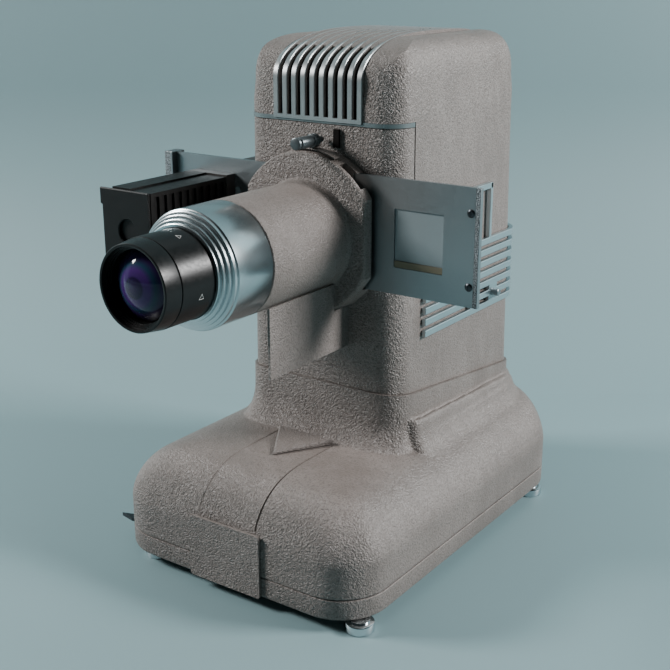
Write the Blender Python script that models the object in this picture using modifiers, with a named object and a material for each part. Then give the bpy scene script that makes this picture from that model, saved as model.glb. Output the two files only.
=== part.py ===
"""Slide projector built from separate pieces, each one named object.

World frame: metres, +Z up, the lens points along -Y and +X is the side of the lamp pin.
Every length below is in millimetres in the projector's own frame, which is hung from one empty.
"""

import math

import bmesh
import bpy
from mathutils import Matrix, Vector

MM = 0.001
FRAME_X = 2.5
FRAME_Y = -2.35
GAP = 0.3

# ---- base -------------------------------------------------------------------------------------
BASE_HALF_WIDTH = 116.0
BASE_FRONT = -118.0
BASE_REAR = 203.0
BASE_FRONT_RADIUS = 39.0
BASE_REAR_RADIUS = 36.0
BASE_BOTTOM = 9.0
BASE_SEAM = 25.6
BASE_WALL_TOP = 50.0
BASE_RISE = 42.6
BASE_DEPTH = 72.0
BASE_SIDE_POWER = 3.2
BASE_TOP_POWER = 1.6
BASE_WALL = 3.0
REAR_INSET_SHARE = 0.25
CORNER_SHRINK = 0.75
FOOT_RADIUS = 10.84
FOOT_POSITIONS = {
    "foot_front_left": (-85.5, -99.0),
    "foot_front_right": (106.5, -99.0),
    "foot_rear_left": (-85.5, 171.0),
    "foot_rear_right": (106.5, 171.0),
}

# ---- pedestal and the slanted seam ---------------------------------------------------------------
PEDESTAL_HALF_WIDTH = 75.0
PEDESTAL_FRONT = -2.5
PEDESTAL_REAR = 197.0
PEDESTAL_RADIUS = 24.0
PEDESTAL_FOOT_Z = 92.0
PEDESTAL_FLARE = 13.0
PEDESTAL_INNER_HALF_WIDTH = 69.5
SEAM_HEIGHT = 135.6
SEAM_SLOPE = 0.1136
SEAM_Y = 3.0
SHOULDER_FRONT = 18.0
SHOULDER_FULL = 21.0
SHOULDER_TAPER = 165.0

# ---- lamp house ----------------------------------------------------------------------------------
SHELL_HALF_WIDTH_LOW = 72.3
SHELL_HALF_WIDTH_HIGH = 70.2
SHELL_LOW_Z = 135.0
SHELL_HIGH_Z = 332.0
SHELL_FRONT = 0.0
SHELL_REAR = 190.0
SHELL_RADIUS = 21.0
SHELL_WALL = 2.5
SHELL_FILLET_Z = 364.0
SHELL_TOP = 397.4
SHELL_FILLET = 20.0
SHELL_FILLET_POWER = 2.5
PANEL_BOTTOM = 219.0
PANEL_TOP = 336.4
PANEL_DEPTH = 22.0
TRIM_BOTTOM = 336.7
TRIM_TOP = 340.2
TRIM_NOTCH = 338.2

# ---- vent lid --------------------------------------------------------------------------------------
LID_HALF_WIDTH = 40.0
LID_FRONT = -0.2
LID_REAR = 180.0
LID_FRONT_BOTTOM = 338.6
LID_TOP_BOTTOM = 374.0
LID_BEND_Z = 368.0
LID_CREST_Y = 100.0
LID_CREST_Z = 400.0
LID_WALL = 2.4
BAR_HALF_WIDTH = 38.6
BAR_THICKNESS = 1.3
SLOT_COUNT = 9
SLOT_PITCH = 8.35
SLOT_WIDTH = 4.2
SLOT_BOTTOM = 341.6
SLOT_END_Y = 22.0

# ---- lens, tube and head -----------------------------------------------------------------------------
AXIS_Z = 255.6
LENS_AXIS = (0.0, 0.0, AXIS_Z)
HEAD_FRONT = -18.1
HEAD_REAR = -0.3
HEAD_RADIUS = 62.2
HEAD_HALF_WIDTH = 53.4
HEAD_BOTTOM = 203.0
TUBE_FRONT = -107.2
TUBE_RADIUS = 41.4
TUBE_BORE = 36.0
BARREL_RADIUS = 30.7
BARREL_REAR = -52.0
RIM_FRONT = -198.3
LIGHT_BORE = 33.0
SLIT_TILT = math.radians(37.7)
KNOB_X = 5.8
KNOB_Z = 326.0

# ---- slide carrier ------------------------------------------------------------------------------------
CARRIER_FRONT = -5.0
CARRIER_BACK = -2.0
CARRIER_BOTTOM = 219.0
CARRIER_TOP = 304.0
CARRIER_LEFT = -145.0
CARRIER_RIGHT = 140.0
WINDOW_PITCH = 91.3
WINDOW_HALF_WIDTH = 20.2
WINDOW_BOTTOM = 239.3
WINDOW_TOP = 281.9
SLOT_FRONT = CARRIER_FRONT - GAP
GRIP_RELIEF_FRONT = -8.9

# ---- magazine ------------------------------------------------------------------------------------------
MAG_LEFT = -115.0
MAG_RIGHT = -76.7
MAG_BOTTOM = 232.0
MAG_TOP = 292.6
MAG_FRONT = -99.0
MAG_BACK = -15.6
MAG_PITCH = 8.0

# ---- side grilles ----------------------------------------------------------------------------------------
GRILLE_BOTTOM = 175.4
GRILLE_FRONT = 35.0
GRILLE_PITCH = 9.08
GRILLE_BARS = 7
GRILLE_BAR_HEIGHT = 5.3
GRILLE_STAND_OFF = 4.3
GRILLE_END_X = 46.0
FRAME_TOP = 280.4
PIN_Y = 143.5
PIN_Z = 187.3

# colour (linear), roughness, metallic
MATERIALS = {
    "wrinkle_enamel": ((0.215, 0.195, 0.178), 0.62, 0.0),
    "smooth_enamel": ((0.200, 0.182, 0.168), 0.55, 0.0),
    "chrome": ((0.62, 0.68, 0.71), 0.14, 1.0),
    "satin_steel": ((0.26, 0.30, 0.33), 0.38, 0.9),
    "dark_steel": ((0.070, 0.075, 0.080), 0.45, 0.8),
    "black_metal": ((0.012, 0.012, 0.013), 0.32, 0.3),
    "black_plastic": ((0.020, 0.019, 0.018), 0.42, 0.0),
    "coated_glass": ((0.16, 0.12, 0.30), 0.04, 0.0),
    "clear_glass": ((0.62, 0.70, 0.72), 0.06, 0.0),
    "ochre_card": ((0.36, 0.30, 0.19), 0.75, 0.0),
    "aluminium": ((0.58, 0.59, 0.60), 0.30, 1.0),
    "copper": ((0.55, 0.24, 0.11), 0.40, 0.9),
    "core_iron": ((0.10, 0.10, 0.105), 0.60, 0.7),
    "ceramic": ((0.72, 0.69, 0.62), 0.45, 0.0),
    "brass": ((0.55, 0.40, 0.16), 0.30, 1.0),
}

for old in list(bpy.data.objects):
    bpy.data.objects.remove(old, do_unlink=True)

PARTS = bpy.data.collections.new("slide_projector")
CUTTERS = bpy.data.collections.new("cutters")
for collection in (PARTS, CUTTERS):
    bpy.context.scene.collection.children.link(collection)

FRAME = bpy.data.objects.new("projector_frame", None)
FRAME.location = (FRAME_X * MM, FRAME_Y * MM, 0.0)
PARTS.objects.link(FRAME)


def material(name):
    """One Principled material, made on first use."""
    found = bpy.data.materials.get(name)
    if found:
        return found
    colour, roughness, metallic = MATERIALS[name]
    made = bpy.data.materials.new(name)
    made.use_nodes = True
    shader = made.node_tree.nodes["Principled BSDF"]
    shader.inputs["Base Color"].default_value = (*colour, 1.0)
    shader.inputs["Roughness"].default_value = roughness
    shader.inputs["Metallic"].default_value = metallic
    return made


def hide_cutter(obj):
    obj.hide_render = True
    obj.display_type = "WIRE"
    CUTTERS.objects.link(obj)


def file_object(obj, look):
    """Put a finished piece among the parts, or among the cutters when it has no look."""
    if look:
        obj.data.materials.append(material(look))
        PARTS.objects.link(obj)
    else:
        hide_cutter(obj)
    return obj


def place(name, bm, look=None, origin=(0.0, 0.0, 0.0), smooth=False):
    """Turn a bmesh in millimetres into an object."""
    bmesh.ops.translate(bm, verts=bm.verts, vec=-Vector(origin))
    bmesh.ops.scale(bm, verts=bm.verts, vec=(MM, MM, MM))
    bmesh.ops.recalc_face_normals(bm, faces=bm.faces)
    mesh = bpy.data.meshes.new(name)
    bm.to_mesh(mesh)
    bm.free()
    for face in mesh.polygons:
        face.use_smooth = smooth
    obj = bpy.data.objects.new(name, mesh)
    obj.location = Vector(origin) * MM
    obj.parent = FRAME
    return file_object(obj, look)


def boolean(target, operation, tools):
    for tool in tools:
        step = target.modifiers.new(operation.lower(), "BOOLEAN")
        step.operation = operation
        step.solver = "EXACT"
        step.object = tool
    return target


def cut(target, *tools):
    return boolean(target, "DIFFERENCE", tools)


def join(target, *tools):
    return boolean(target, "UNION", tools)


def bevel(obj, width, segments=2, angle=40.0):
    step = obj.modifiers.new("bevel", "BEVEL")
    step.width = width * MM
    step.segments = segments
    step.limit_method = "ANGLE"
    step.angle_limit = math.radians(angle)
    return obj


def box(x0, x1, y0, y1, z0, z1):
    bm = bmesh.new()
    bmesh.ops.create_cube(bm, size=1.0)
    bmesh.ops.scale(bm, verts=bm.verts, vec=(x1 - x0, y1 - y0, z1 - z0))
    bmesh.ops.translate(bm, verts=bm.verts, vec=((x0 + x1) / 2, (y0 + y1) / 2, (z0 + z1) / 2))
    return bm


AXES = {
    "x": lambda u, v, w: (w, u, v),
    "y": lambda u, v, w: (u, w, v),
    "z": lambda u, v, w: (u, v, w),
}


def prism(outline, axis, low, high):
    """Extrude a flat outline along an axis: (y, z) along x, (x, z) along y, (x, y) along z."""
    bm = bmesh.new()
    corner = AXES[axis]
    face = bm.faces.new([bm.verts.new(corner(u, v, low)) for u, v in outline])
    made = bmesh.ops.extrude_face_region(bm, geom=[face])
    moved = [item for item in made["geom"] if isinstance(item, bmesh.types.BMVert)]
    bmesh.ops.translate(bm, verts=moved, vec=corner(0.0, 0.0, high - low))
    return bm


def loft(rings):
    """Skin a list of rings with the same number of points and close both ends."""
    bm = bmesh.new()
    levels = [[bm.verts.new(point) for point in ring] for ring in rings]
    count = len(rings[0])
    for lower, upper in zip(levels, levels[1:]):
        for i in range(count):
            j = (i + 1) % count
            bm.faces.new((lower[i], lower[j], upper[j], upper[i]))
    bm.faces.new(levels[0])
    bm.faces.new(levels[-1])
    return bm


def rounded(x0, x1, y0, y1, front_radius, rear_radius, steps=7):
    """Rectangle with rounded corners, counterclockwise from the front right corner."""
    corners = (
        (x1, y0, front_radius, -90.0),
        (x1, y1, rear_radius, 0.0),
        (x0, y1, rear_radius, 90.0),
        (x0, y0, front_radius, 180.0),
    )
    points = []
    for x, y, radius, start in corners:
        centre_x = x - radius if x == x1 else x + radius
        centre_y = y + radius if y == y0 else y - radius
        points += arc(centre_x, centre_y, radius, start, start + 90.0, steps)
    return points


def at_height(points, z):
    return [(x, y, z) for x, y in points]


def arc(centre_u, centre_v, radius, start, end, steps):
    """Points on an arc, angles in degrees, both ends included."""
    spread = [math.radians(start + (end - start) * i / steps) for i in range(steps + 1)]
    return [(centre_u + radius * math.cos(a), centre_v + radius * math.sin(a)) for a in spread]


TURN_TO = {
    "z": Matrix.Identity(3),
    "y": Matrix.Rotation(math.radians(-90.0), 3, "X"),
    "x": Matrix.Rotation(math.radians(90.0), 3, "Y"),
}


def turned(name, profile, axis, origin, look, steps=32, closed=False):
    """Turn a profile of (radius, height) about an axis through the origin, top to bottom outside."""
    mesh = bpy.data.meshes.new(name)
    points = [(radius * MM, 0.0, height * MM) for radius, height in profile]
    edges = [(i, i + 1) for i in range(len(points) - 1)]
    if closed:
        edges.append((len(points) - 1, 0))
    mesh.from_pydata(points, edges, [])
    obj = bpy.data.objects.new(name, mesh)
    obj.location = Vector(origin) * MM
    obj.rotation_euler = TURN_TO[axis].to_euler()
    obj.parent = FRAME
    screw = obj.modifiers.new("turn", "SCREW")
    screw.angle = math.tau
    screw.steps = steps
    screw.render_steps = steps
    screw.use_merge_vertices = True
    screw.merge_threshold = 0.00001
    screw.use_smooth_shade = True
    return file_object(obj, look)


def disc(name, radius, high, low, axis, origin, look, steps=24):
    profile = [(0.0, high), (radius, high), (radius, low), (0.0, low)]
    return turned(name, profile, axis, origin, look, steps)


def drill(name, radius, axis, origin, length, steps=20):
    return disc(name, radius, length, -length, axis, origin, None, steps)


def seam_z(y):
    return SEAM_HEIGHT - SEAM_SLOPE * (y - SEAM_Y)


# ================================== base ==========================================================
def base_ring(inset, z, wall=0.0, steps=6):
    edge = BASE_HALF_WIDTH - inset - wall
    front = BASE_FRONT + inset + wall
    rear = BASE_REAR - REAR_INSET_SHARE * inset - wall
    front_radius = max(BASE_FRONT_RADIUS - CORNER_SHRINK * inset - wall, 4.0)
    rear_radius = max(BASE_REAR_RADIUS - CORNER_SHRINK * inset - wall, 4.0)
    return at_height(rounded(-edge, edge, front, rear, front_radius, rear_radius, steps), z)


def base_section(angle):
    """Inset and height of the rounded top edge at an angle from the wall (0) to the top (90)."""
    side = math.cos(angle) ** (2.0 / BASE_SIDE_POWER)
    rise = math.sin(angle) ** (2.0 / BASE_TOP_POWER)
    return BASE_DEPTH * (1.0 - side), BASE_WALL_TOP + BASE_RISE * rise


def base_body(steps, wall, low, corner_steps):
    rings = [base_ring(0.0, low, wall, corner_steps)]
    for i in range(steps + 1):
        inset, z = base_section(0.485 * math.pi * i / steps)
        rings.append(base_ring(inset, z - wall, wall, corner_steps))
    return loft(rings)


def pedestal_ring(z, grow):
    edge = PEDESTAL_HALF_WIDTH + 0.3 * grow
    front = PEDESTAL_FRONT - grow
    rear = PEDESTAL_REAR + 0.15 * grow
    radius = PEDESTAL_RADIUS + 0.45 * grow
    return at_height(rounded(-edge, edge, front, rear, radius, radius, 6), z)


def pedestal_body():
    rings = [pedestal_ring(PEDESTAL_FOOT_Z - 6.0, PEDESTAL_FLARE)]
    steps = 4
    for i in range(steps + 1):
        share = i / steps
        flare = PEDESTAL_FLARE * (1.0 - share) ** 2.4
        rings.append(pedestal_ring(PEDESTAL_FOOT_Z + 22.0 * share, flare))
    rings.append(pedestal_ring(142.0, -0.6))
    return loft(rings)


def shoulder_body(side):
    """Raised flank beside the pedestal, lower at the rear like the seam above it."""

    def section(y, narrow):
        drop = SEAM_SLOPE * 0.45 * (y - SHOULDER_FRONT)
        profile = [(60.0, 76.0), (97.0, 76.0), (92.5, 84.7), (88.5, 88.9), (85.0, 93.0), (82.3, 98.6)]
        profile += [(80.4, 105.0 - 0.5 * drop), (79.6, 111.0 - drop), (78.0, 113.2 - drop)]
        profile += [(60.0, 113.2 - drop)]
        return [(side * (x - narrow * (x > 60.0)), y, z) for x, z in profile]

    stations = [(SHOULDER_FRONT, 3.0), (SHOULDER_FULL, 0.0), (SHOULDER_TAPER, 0.0)]
    stations += [(180.0, 2.5), (191.0, 9.0)]
    return loft([section(y, narrow) for y, narrow in stations])


def beyond_seam(name, lift, far):
    """Solid between the slanted seam, moved by lift, and a far height."""
    outline = [(-60.0, seam_z(-60.0) + lift), (240.0, seam_z(240.0) + lift), (240.0, far), (-60.0, far)]
    return place(name, prism(outline, "x", -130.0, 130.0))


base_housing = place("base_housing", base_body(8, 0.0, BASE_SEAM, 6), "wrinkle_enamel", smooth=True)
join(
    base_housing,
    place("pedestal_form", pedestal_body()),
    place("shoulder_form_left", shoulder_body(-1.0)),
    place("shoulder_form_right", shoulder_body(1.0)),
)
hollow = rounded(
    -PEDESTAL_INNER_HALF_WIDTH, PEDESTAL_INNER_HALF_WIDTH, 3.2, 191.0, 17.0, 17.0, 4
)
flare = rounded(-81.0, 81.0, -7.0, 195.0, 22.0, 22.0, 4)
cut(
    base_housing,
    place("base_hollow", base_body(4, BASE_WALL, BASE_SEAM - 5.0, 3)),
    place("pedestal_hollow", loft([at_height(hollow, 80.0), at_height(hollow, 160.0)])),
    place("flare_hollow", loft([at_height(flare, 80.0), at_height(flare, 87.0), at_height(hollow, 104.0)])),
    beyond_seam("seam_form_base", 0.0, 400.0),
)


def groove_form(side):
    """Narrow groove that follows the front slope from the wedge down to the cover plate."""
    centre = side * 26.5
    depth = 1.1
    steps = 8
    low = []
    for i in range(steps + 1):
        inset, z = base_section(math.radians(20.0 + 66.0 * i / steps))
        low.append((BASE_FRONT + inset + depth * 0.6, z - depth))
    low.append((-19.0, low[-1][1]))
    outline = low + [(-19.0, 110.0), (-135.0, 110.0), (-135.0, low[0][1])]
    return prism(outline, "x", centre - 0.7, centre + 0.7)


cut(
    base_housing,
    place("groove_form_right", groove_form(1.0)),
    place("groove_form_left", groove_form(-1.0)),
    place("inlet_opening_form", box(-76.3, -43.7, 190.0, 215.0, 33.7, 58.3)),
)

base_plate = place(
    "base_plate",
    loft([base_ring(2.5, BASE_BOTTOM), base_ring(0.0, BASE_BOTTOM + 3.0), base_ring(0.0, BASE_SEAM - GAP)]),
    "wrinkle_enamel",
    smooth=True,
)
cut(
    base_plate,
    place("tray_form", loft([base_ring(0.0, 12.2, 3.2, 4), base_ring(0.0, 40.0, 3.2, 4)])),
    place("lever_slot_form", box(-125.0, -104.0, -94.5, -77.5, 13.7, 18.3)),
)

cover_outline = rounded(-33.0, 33.0, BASE_BOTTOM, 58.8, 2.0, 2.0, 2)
place(
    "front_cover_plate",
    prism(cover_outline, "y", BASE_FRONT - GAP - 2.1, BASE_FRONT - GAP),
    "wrinkle_enamel",
)


def wedge_ring(shrink, back_z, tip_z):
    back = -17.2 - shrink
    half = 26.5 - 1.6 * shrink
    tip = -60.0 + 1.8 * shrink
    return [(-half, back, back_z), (0.0, tip, tip_z), (half, back, back_z)]


place(
    "index_wedge",
    loft([wedge_ring(0.0, 93.4, 93.4), wedge_ring(0.0, 96.2, 94.4), wedge_ring(1.2, 97.4, 95.0)]),
    "smooth_enamel",
)

for name, (x, y) in FOOT_POSITIONS.items():
    foot_profile = [(0.0, 8.7), (7.6, 8.7), (7.6, 7.0), (FOOT_RADIUS, 6.4), (FOOT_RADIUS, 0.8)]
    foot_profile += [(FOOT_RADIUS - 0.8, 0.0), (0.0, 0.0)]
    turned(name, foot_profile, "z", (x, y, 0.0), "chrome", 28)

# ================================== inside the base ====================================================
core = place("transformer_core", box(-30.0, 34.0, 62.0, 126.0, 14.0, 70.0), "core_iron")
join(core, place("transformer_foot_form", box(-44.0, 48.0, 70.0, 118.0, 12.5, 15.7)))
cut(
    core,
    place("core_window_low", box(-19.0, -4.0, 50.0, 140.0, 26.0, 60.0)),
    place("core_window_high", box(8.0, 23.0, 50.0, 140.0, 26.0, 60.0)),
)
winding_outer = rounded(-18.6, 22.6, 52.0, 136.0, 6.0, 6.0, 3)
winding = place(
    "transformer_winding",
    loft([at_height(winding_outer, 26.4), at_height(winding_outer, 59.6)]),
    "copper",
)
cut(winding, place("winding_bore", box(-4.3, 8.3, 61.7, 126.3, 20.0, 66.0)))

inlet = place("power_inlet", box(-76.0, -44.0, 170.0, 202.6, 34.0, 58.0), "black_plastic")
bevel(inlet, 1.5)
cut(inlet, place("inlet_socket_form", box(-71.5, -48.5, 180.0, 215.0, 38.5, 53.5)))
join(
    inlet,
    place("inlet_pin_left", box(-68.0, -65.8, 176.0, 197.0, 43.5, 48.5)),
    place("inlet_pin_middle", box(-61.1, -58.9, 176.0, 197.0, 43.5, 48.5)),
    place("inlet_pin_right", box(-54.2, -52.0, 176.0, 197.0, 43.5, 48.5)),
)

SWITCH_X, SWITCH_Y = -101.0, -84.0
switch_profile = [(0.0, 20.0), (2.0, 20.0), (2.0, 14.2), (8.0, 14.2), (8.0, 12.5), (0.0, 12.5)]
turned("switch_pivot", switch_profile, "z", (SWITCH_X, SWITCH_Y, 0.0), "brass", 20)
lever_outline = [(-136.0, -88.9), (-123.0, -91.6), (-104.0, -88.6)]
lever_outline += arc(SWITCH_X, SWITCH_Y, 5.2, -120.0, 120.0, 10)
lever_outline += [(-116.0, -81.6)]
switch_lever = place(
    "switch_lever", prism(lever_outline, "z", 14.6, 17.4), "dark_steel", (SWITCH_X, SWITCH_Y, 16.0)
)
cut(switch_lever, drill("lever_bore", 2.3, "z", (SWITCH_X, SWITCH_Y, 16.0), 10.0, 16))


# ================================== lamp house ========================================================
def shell_half_width(z):
    share = (z - SHELL_LOW_Z) / (SHELL_HIGH_Z - SHELL_LOW_Z)
    return SHELL_HALF_WIDTH_LOW + (SHELL_HALF_WIDTH_HIGH - SHELL_HALF_WIDTH_LOW) * share


def shell_ring(z, inset, wall, steps=6):
    edge = shell_half_width(min(z, SHELL_HIGH_Z)) - inset - wall
    lean = max(0.0, SHELL_HIGH_Z - z) / (SHELL_HIGH_Z - SHELL_LOW_Z)
    front = SHELL_FRONT + 1.15 * inset + wall
    rear = SHELL_REAR + 3.6 * lean - inset - wall
    radius = max(SHELL_RADIUS - wall - 0.1 * inset, 6.0)
    return at_height(rounded(-edge, edge, front, rear, radius, radius, steps), z)


def shell_body(wall, steps, corner_steps):
    rings = [shell_ring(z, 0.0, wall, corner_steps) for z in (100.0, SHELL_LOW_Z, SHELL_HIGH_Z)]
    power = 2.0 / SHELL_FILLET_POWER
    for i in range(steps + 1):
        angle = 0.5 * math.pi * i / steps
        z = SHELL_FILLET_Z + (SHELL_TOP - SHELL_FILLET_Z - wall) * math.sin(angle) ** power
        inset = 1.0 + (SHELL_FILLET - wall) * (1.0 - math.cos(angle) ** power)
        rings.append(shell_ring(z, inset, wall, corner_steps))
    return loft(rings)


def lid_profile(lift, steps):
    """Front edge, bend and crest of the vent lid as (y, z), moved outwards by lift."""
    reach = LID_CREST_Y - LID_FRONT + lift
    rise = LID_CREST_Z - LID_BEND_Z + lift
    points = []
    for i in range(steps + 1):
        angle = 0.5 * math.pi * i / steps
        y = LID_CREST_Y - reach * math.cos(angle) ** (2.0 / 2.9)
        points.append((y, LID_BEND_Z + rise * math.sin(angle)))
    tail = [(140.0, 399.2), (160.0, 397.0), (172.0, 393.4), (178.5, 387.0)]
    return points + [(y + 0.3 * lift, z + lift) for y, z in tail]


def lid_outline(lift, bottom_drop, steps=12):
    """Closed (y, z) outline of the lid: deep in front, shallow behind."""
    front = LID_FRONT - lift
    rear = LID_REAR + lift
    outline = [(front, LID_FRONT_BOTTOM - bottom_drop)] + lid_profile(lift, steps)
    outline += [(rear, 382.0), (rear, LID_TOP_BOTTOM - bottom_drop)]
    outline += [(21.0 + lift, LID_TOP_BOTTOM - bottom_drop), (21.0 + lift, LID_FRONT_BOTTOM - bottom_drop)]
    return outline


def grille_path(offset):
    """Plan view of the grille band on the right side, from the front end round the rear corner."""
    half = shell_half_width(205.0)
    rear = SHELL_REAR + 2.2
    corner = arc(half - SHELL_RADIUS, rear - SHELL_RADIUS, SHELL_RADIUS + offset, 0.0, 90.0, 6)
    return [(half + offset, GRILLE_FRONT)] + corner + [(GRILLE_END_X, rear + offset)]


def band(section, side):
    """Carry a closed (offset, z) section along the grille path."""
    rings = []
    for station in range(len(grille_path(0.0))):
        ring = []
        for offset, z in section:
            x, y = grille_path(offset)[station]
            ring.append((side * x, y, z))
        rings.append(ring)
    return loft(rings)


def shell_hollow(wall):
    """Room inside the house up to the fillet, without the cheeks beside the lid."""
    levels = (100.0, SHELL_LOW_Z, SHELL_HIGH_Z, SHELL_FILLET_Z)
    return loft([shell_ring(z, 0.0, wall, 4) for z in levels])


def cheek_hollow(side):
    """Room in the roof beside the lid, under the bend."""
    outline = lid_profile(-6.5, 6)
    outline += [(outline[-1][0], 360.0), (outline[0][0], 360.0)]
    low, high = sorted((side * (LID_HALF_WIDTH + 3.4), side * 58.0))
    return prism(outline, "x", low, high)


def roof_bend():
    """All that stands above the front bend of the roof."""
    outline = [(-30.0, LID_BEND_Z)] + lid_profile(0.15, 10)[:11]
    return prism(outline + [(LID_CREST_Y, 430.0), (-30.0, 430.0)], "x", -90.0, 90.0)


lid_clear = LID_HALF_WIDTH + 0.4
lid_opening = [(-10.0, LID_FRONT_BOTTOM - 1.0), (21.4, LID_FRONT_BOTTOM - 1.0), (21.4, 352.0)]
lid_opening += [(LID_REAR + 0.4, 352.0), (LID_REAR + 0.4, 430.0), (-10.0, 430.0)]
lamp_house_shell = place("lamp_house_shell", shell_body(0.0, 6, 6), "wrinkle_enamel", smooth=True)
cut(
    lamp_house_shell,
    place("roof_bend_form", roof_bend()),
    place("shell_hollow", shell_hollow(SHELL_WALL)),
    place("cheek_hollow_left", cheek_hollow(-1.0)),
    place("cheek_hollow_right", cheek_hollow(1.0)),
    beyond_seam("seam_form_shell", GAP, 40.0),
    place(
        "panel_form",
        box(-90.0, 90.0, -20.0, PANEL_DEPTH + GAP, PANEL_BOTTOM - GAP, TRIM_TOP + GAP),
    ),
    place("lid_form", prism(lid_opening, "x", -lid_clear, lid_clear)),
)
for i in range(GRILLE_BARS):
    low = GRILLE_BOTTOM + GRILLE_PITCH * i + 1.2
    slot = box(-90.0, 90.0, 52.0, 124.0, low, low + 2.9)
    cut(lamp_house_shell, place(f"louvre_form_{i}", slot))
cut(
    lamp_house_shell,
    place("index_hole_high", box(60.0, 90.0, 129.6, 137.6, 189.9, 193.4)),
    place("index_hole_low", box(60.0, 90.0, 129.6, 137.6, 180.9, 184.3)),
    drill("shell_pin_bore", 3.8, "x", (70.0, PIN_Y, PIN_Z), 12.0, 16),
)

front_panel = place(
    "front_panel",
    loft([shell_ring(PANEL_BOTTOM, 0.0, 0.0), shell_ring(PANEL_TOP, 0.0, 0.0)]),
    "wrinkle_enamel",
    smooth=True,
)
cut(
    front_panel,
    place(
        "panel_inner_form",
        loft([shell_ring(190.0, 0.0, SHELL_WALL), shell_ring(360.0, 0.0, SHELL_WALL)]),
    ),
    place("panel_rear_form", box(-90.0, 90.0, PANEL_DEPTH, 230.0, 190.0, 360.0)),
    drill("gate_bore", 33.0, "y", LENS_AXIS, 20.0, 32),
)

trim_strip = place(
    "trim_strip",
    loft([shell_ring(TRIM_BOTTOM, -0.6, 0.0), shell_ring(TRIM_TOP, -0.6, 0.0)]),
    "chrome",
    smooth=True,
)
cut(
    trim_strip,
    place(
        "trim_inner_form",
        loft([shell_ring(320.0, 0.0, SHELL_WALL), shell_ring(360.0, 0.0, SHELL_WALL)]),
    ),
    place("trim_rear_form", box(-90.0, 90.0, PANEL_DEPTH, 230.0, 320.0, 360.0)),
    place("trim_notch_form", box(-lid_clear, lid_clear, -20.0, 30.0, TRIM_NOTCH, 360.0)),
)

# ---- vent lid ---------------------------------------------------------------------------------------
vent_lid = place(
    "vent_lid", prism(lid_outline(0.0, 0.0), "x", -LID_HALF_WIDTH, LID_HALF_WIDTH), "smooth_enamel"
)
lid_inner = lid_outline(-LID_WALL, 60.0, 8)
inner_half = LID_HALF_WIDTH - LID_WALL
slot_tools = []
bar_tools = []
for i in range(SLOT_COUNT):
    x = (i - (SLOT_COUNT - 1) / 2) * SLOT_PITCH
    half = SLOT_WIDTH / 2
    slot = box(x - half, x + half, -12.0, SLOT_END_Y, SLOT_BOTTOM, 412.0)
    slot_tools.append(place(f"vent_slot_form_{i}", slot))
    bar = box(x - half + 0.1, x + half - 0.1, -12.0, SLOT_END_Y - 0.2, SLOT_BOTTOM + 0.2, 412.0)
    bar_tools.append(place(f"bar_slot_form_{i}", bar))
cut(vent_lid, place("lid_hollow", prism(lid_inner, "x", -inner_half, inner_half)), *slot_tools)


def strip_outline(lift, thick, last):
    """Thin (y, z) band that lies on the lid from its front edge up to point number last."""
    outer = [(LID_FRONT - lift - thick, LID_FRONT_BOTTOM)] + lid_profile(lift + thick, 12)[:last]
    inner = [(LID_FRONT - lift, LID_FRONT_BOTTOM)] + lid_profile(lift, 12)[:last]
    return outer + inner[::-1]


vent_bars = place(
    "vent_bars",
    prism(strip_outline(GAP, BAR_THICKNESS, 9), "x", -BAR_HALF_WIDTH, BAR_HALF_WIDTH),
    "chrome",
)
cut(vent_bars, *bar_tools)


# ---- grilles on the two sides ---------------------------------------------------------------------------
def grille_block(side, y0, y1, z0, z1):
    """Flat web that joins the bars, as thick as they are."""
    near = shell_half_width(z0) + GAP + 0.2
    low, high = sorted((side * near, side * (shell_half_width(205.0) + GRILLE_STAND_OFF - 0.05)))
    return box(low, high, y0, y1, z0, z1)


for label, side in (("right", 1.0), ("left", -1.0)):
    bars = []
    for i in range(GRILLE_BARS):
        z = GRILLE_BOTTOM + GRILLE_PITCH * i
        near = GAP + 0.2 + max(0.0, shell_half_width(z) - shell_half_width(205.0))
        section = [(near, z), (GRILLE_STAND_OFF, z), (GRILLE_STAND_OFF, z + GRILLE_BAR_HEIGHT)]
        section += [(near, z + GRILLE_BAR_HEIGHT)]
        bars.append(band(section, side))
    grille = place(f"side_grille_{label}", bars[0], "satin_steel")
    joined = [place(f"grille_bar_form_{label}_{i}", bar) for i, bar in enumerate(bars) if i]
    top = GRILLE_BOTTOM + GRILLE_PITCH * (GRILLE_BARS - 1) + 2.0
    webs = (
        ("pad_high", 138.0, 151.6, 181.0, 195.0),
        ("pad_low", 137.9, 153.0, 177.0, 187.0),
        ("spine", 106.0, 118.0, 177.0, top),
        ("frame_rear", 134.4, 137.7, top - 1.0, FRAME_TOP),
        ("frame_front", 96.0, 99.3, top - 1.0, FRAME_TOP),
        ("frame_top", 96.1, 137.6, FRAME_TOP - 4.7, FRAME_TOP - 0.05),
    )
    for name, y0, y1, z0, z1 in webs:
        joined.append(place(f"grille_{name}_{label}", grille_block(side, y0, y1, z0, z1)))
    join(grille, *joined)
    if side > 0:
        cut(grille, drill("pin_clearance", 3.6, "x", (70.0, PIN_Y, PIN_Z), 20.0, 16))


# ================================== head, tube and lens ================================================
def head_outline(grow, steps=28):
    """Round flange with flat sides, a flat foot and chamfered lower corners."""
    radius = HEAD_RADIUS + grow
    side = HEAD_HALF_WIDTH + grow
    low = HEAD_BOTTOM - grow
    start = math.degrees(math.acos(side / radius))
    points = arc(0.0, AXIS_Z, radius, start, 180.0 - start, steps)
    chamfer = [(side, low + 27.0), (side - 9.3, low + 14.5), (side - 22.0, low + 2.6), (side - 30.0, low)]
    points += [(-x, z) for x, z in chamfer]
    points += chamfer[::-1]
    return points


def head_ring(y, grow):
    return [(x, y, z) for x, z in head_outline(grow)]


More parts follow.
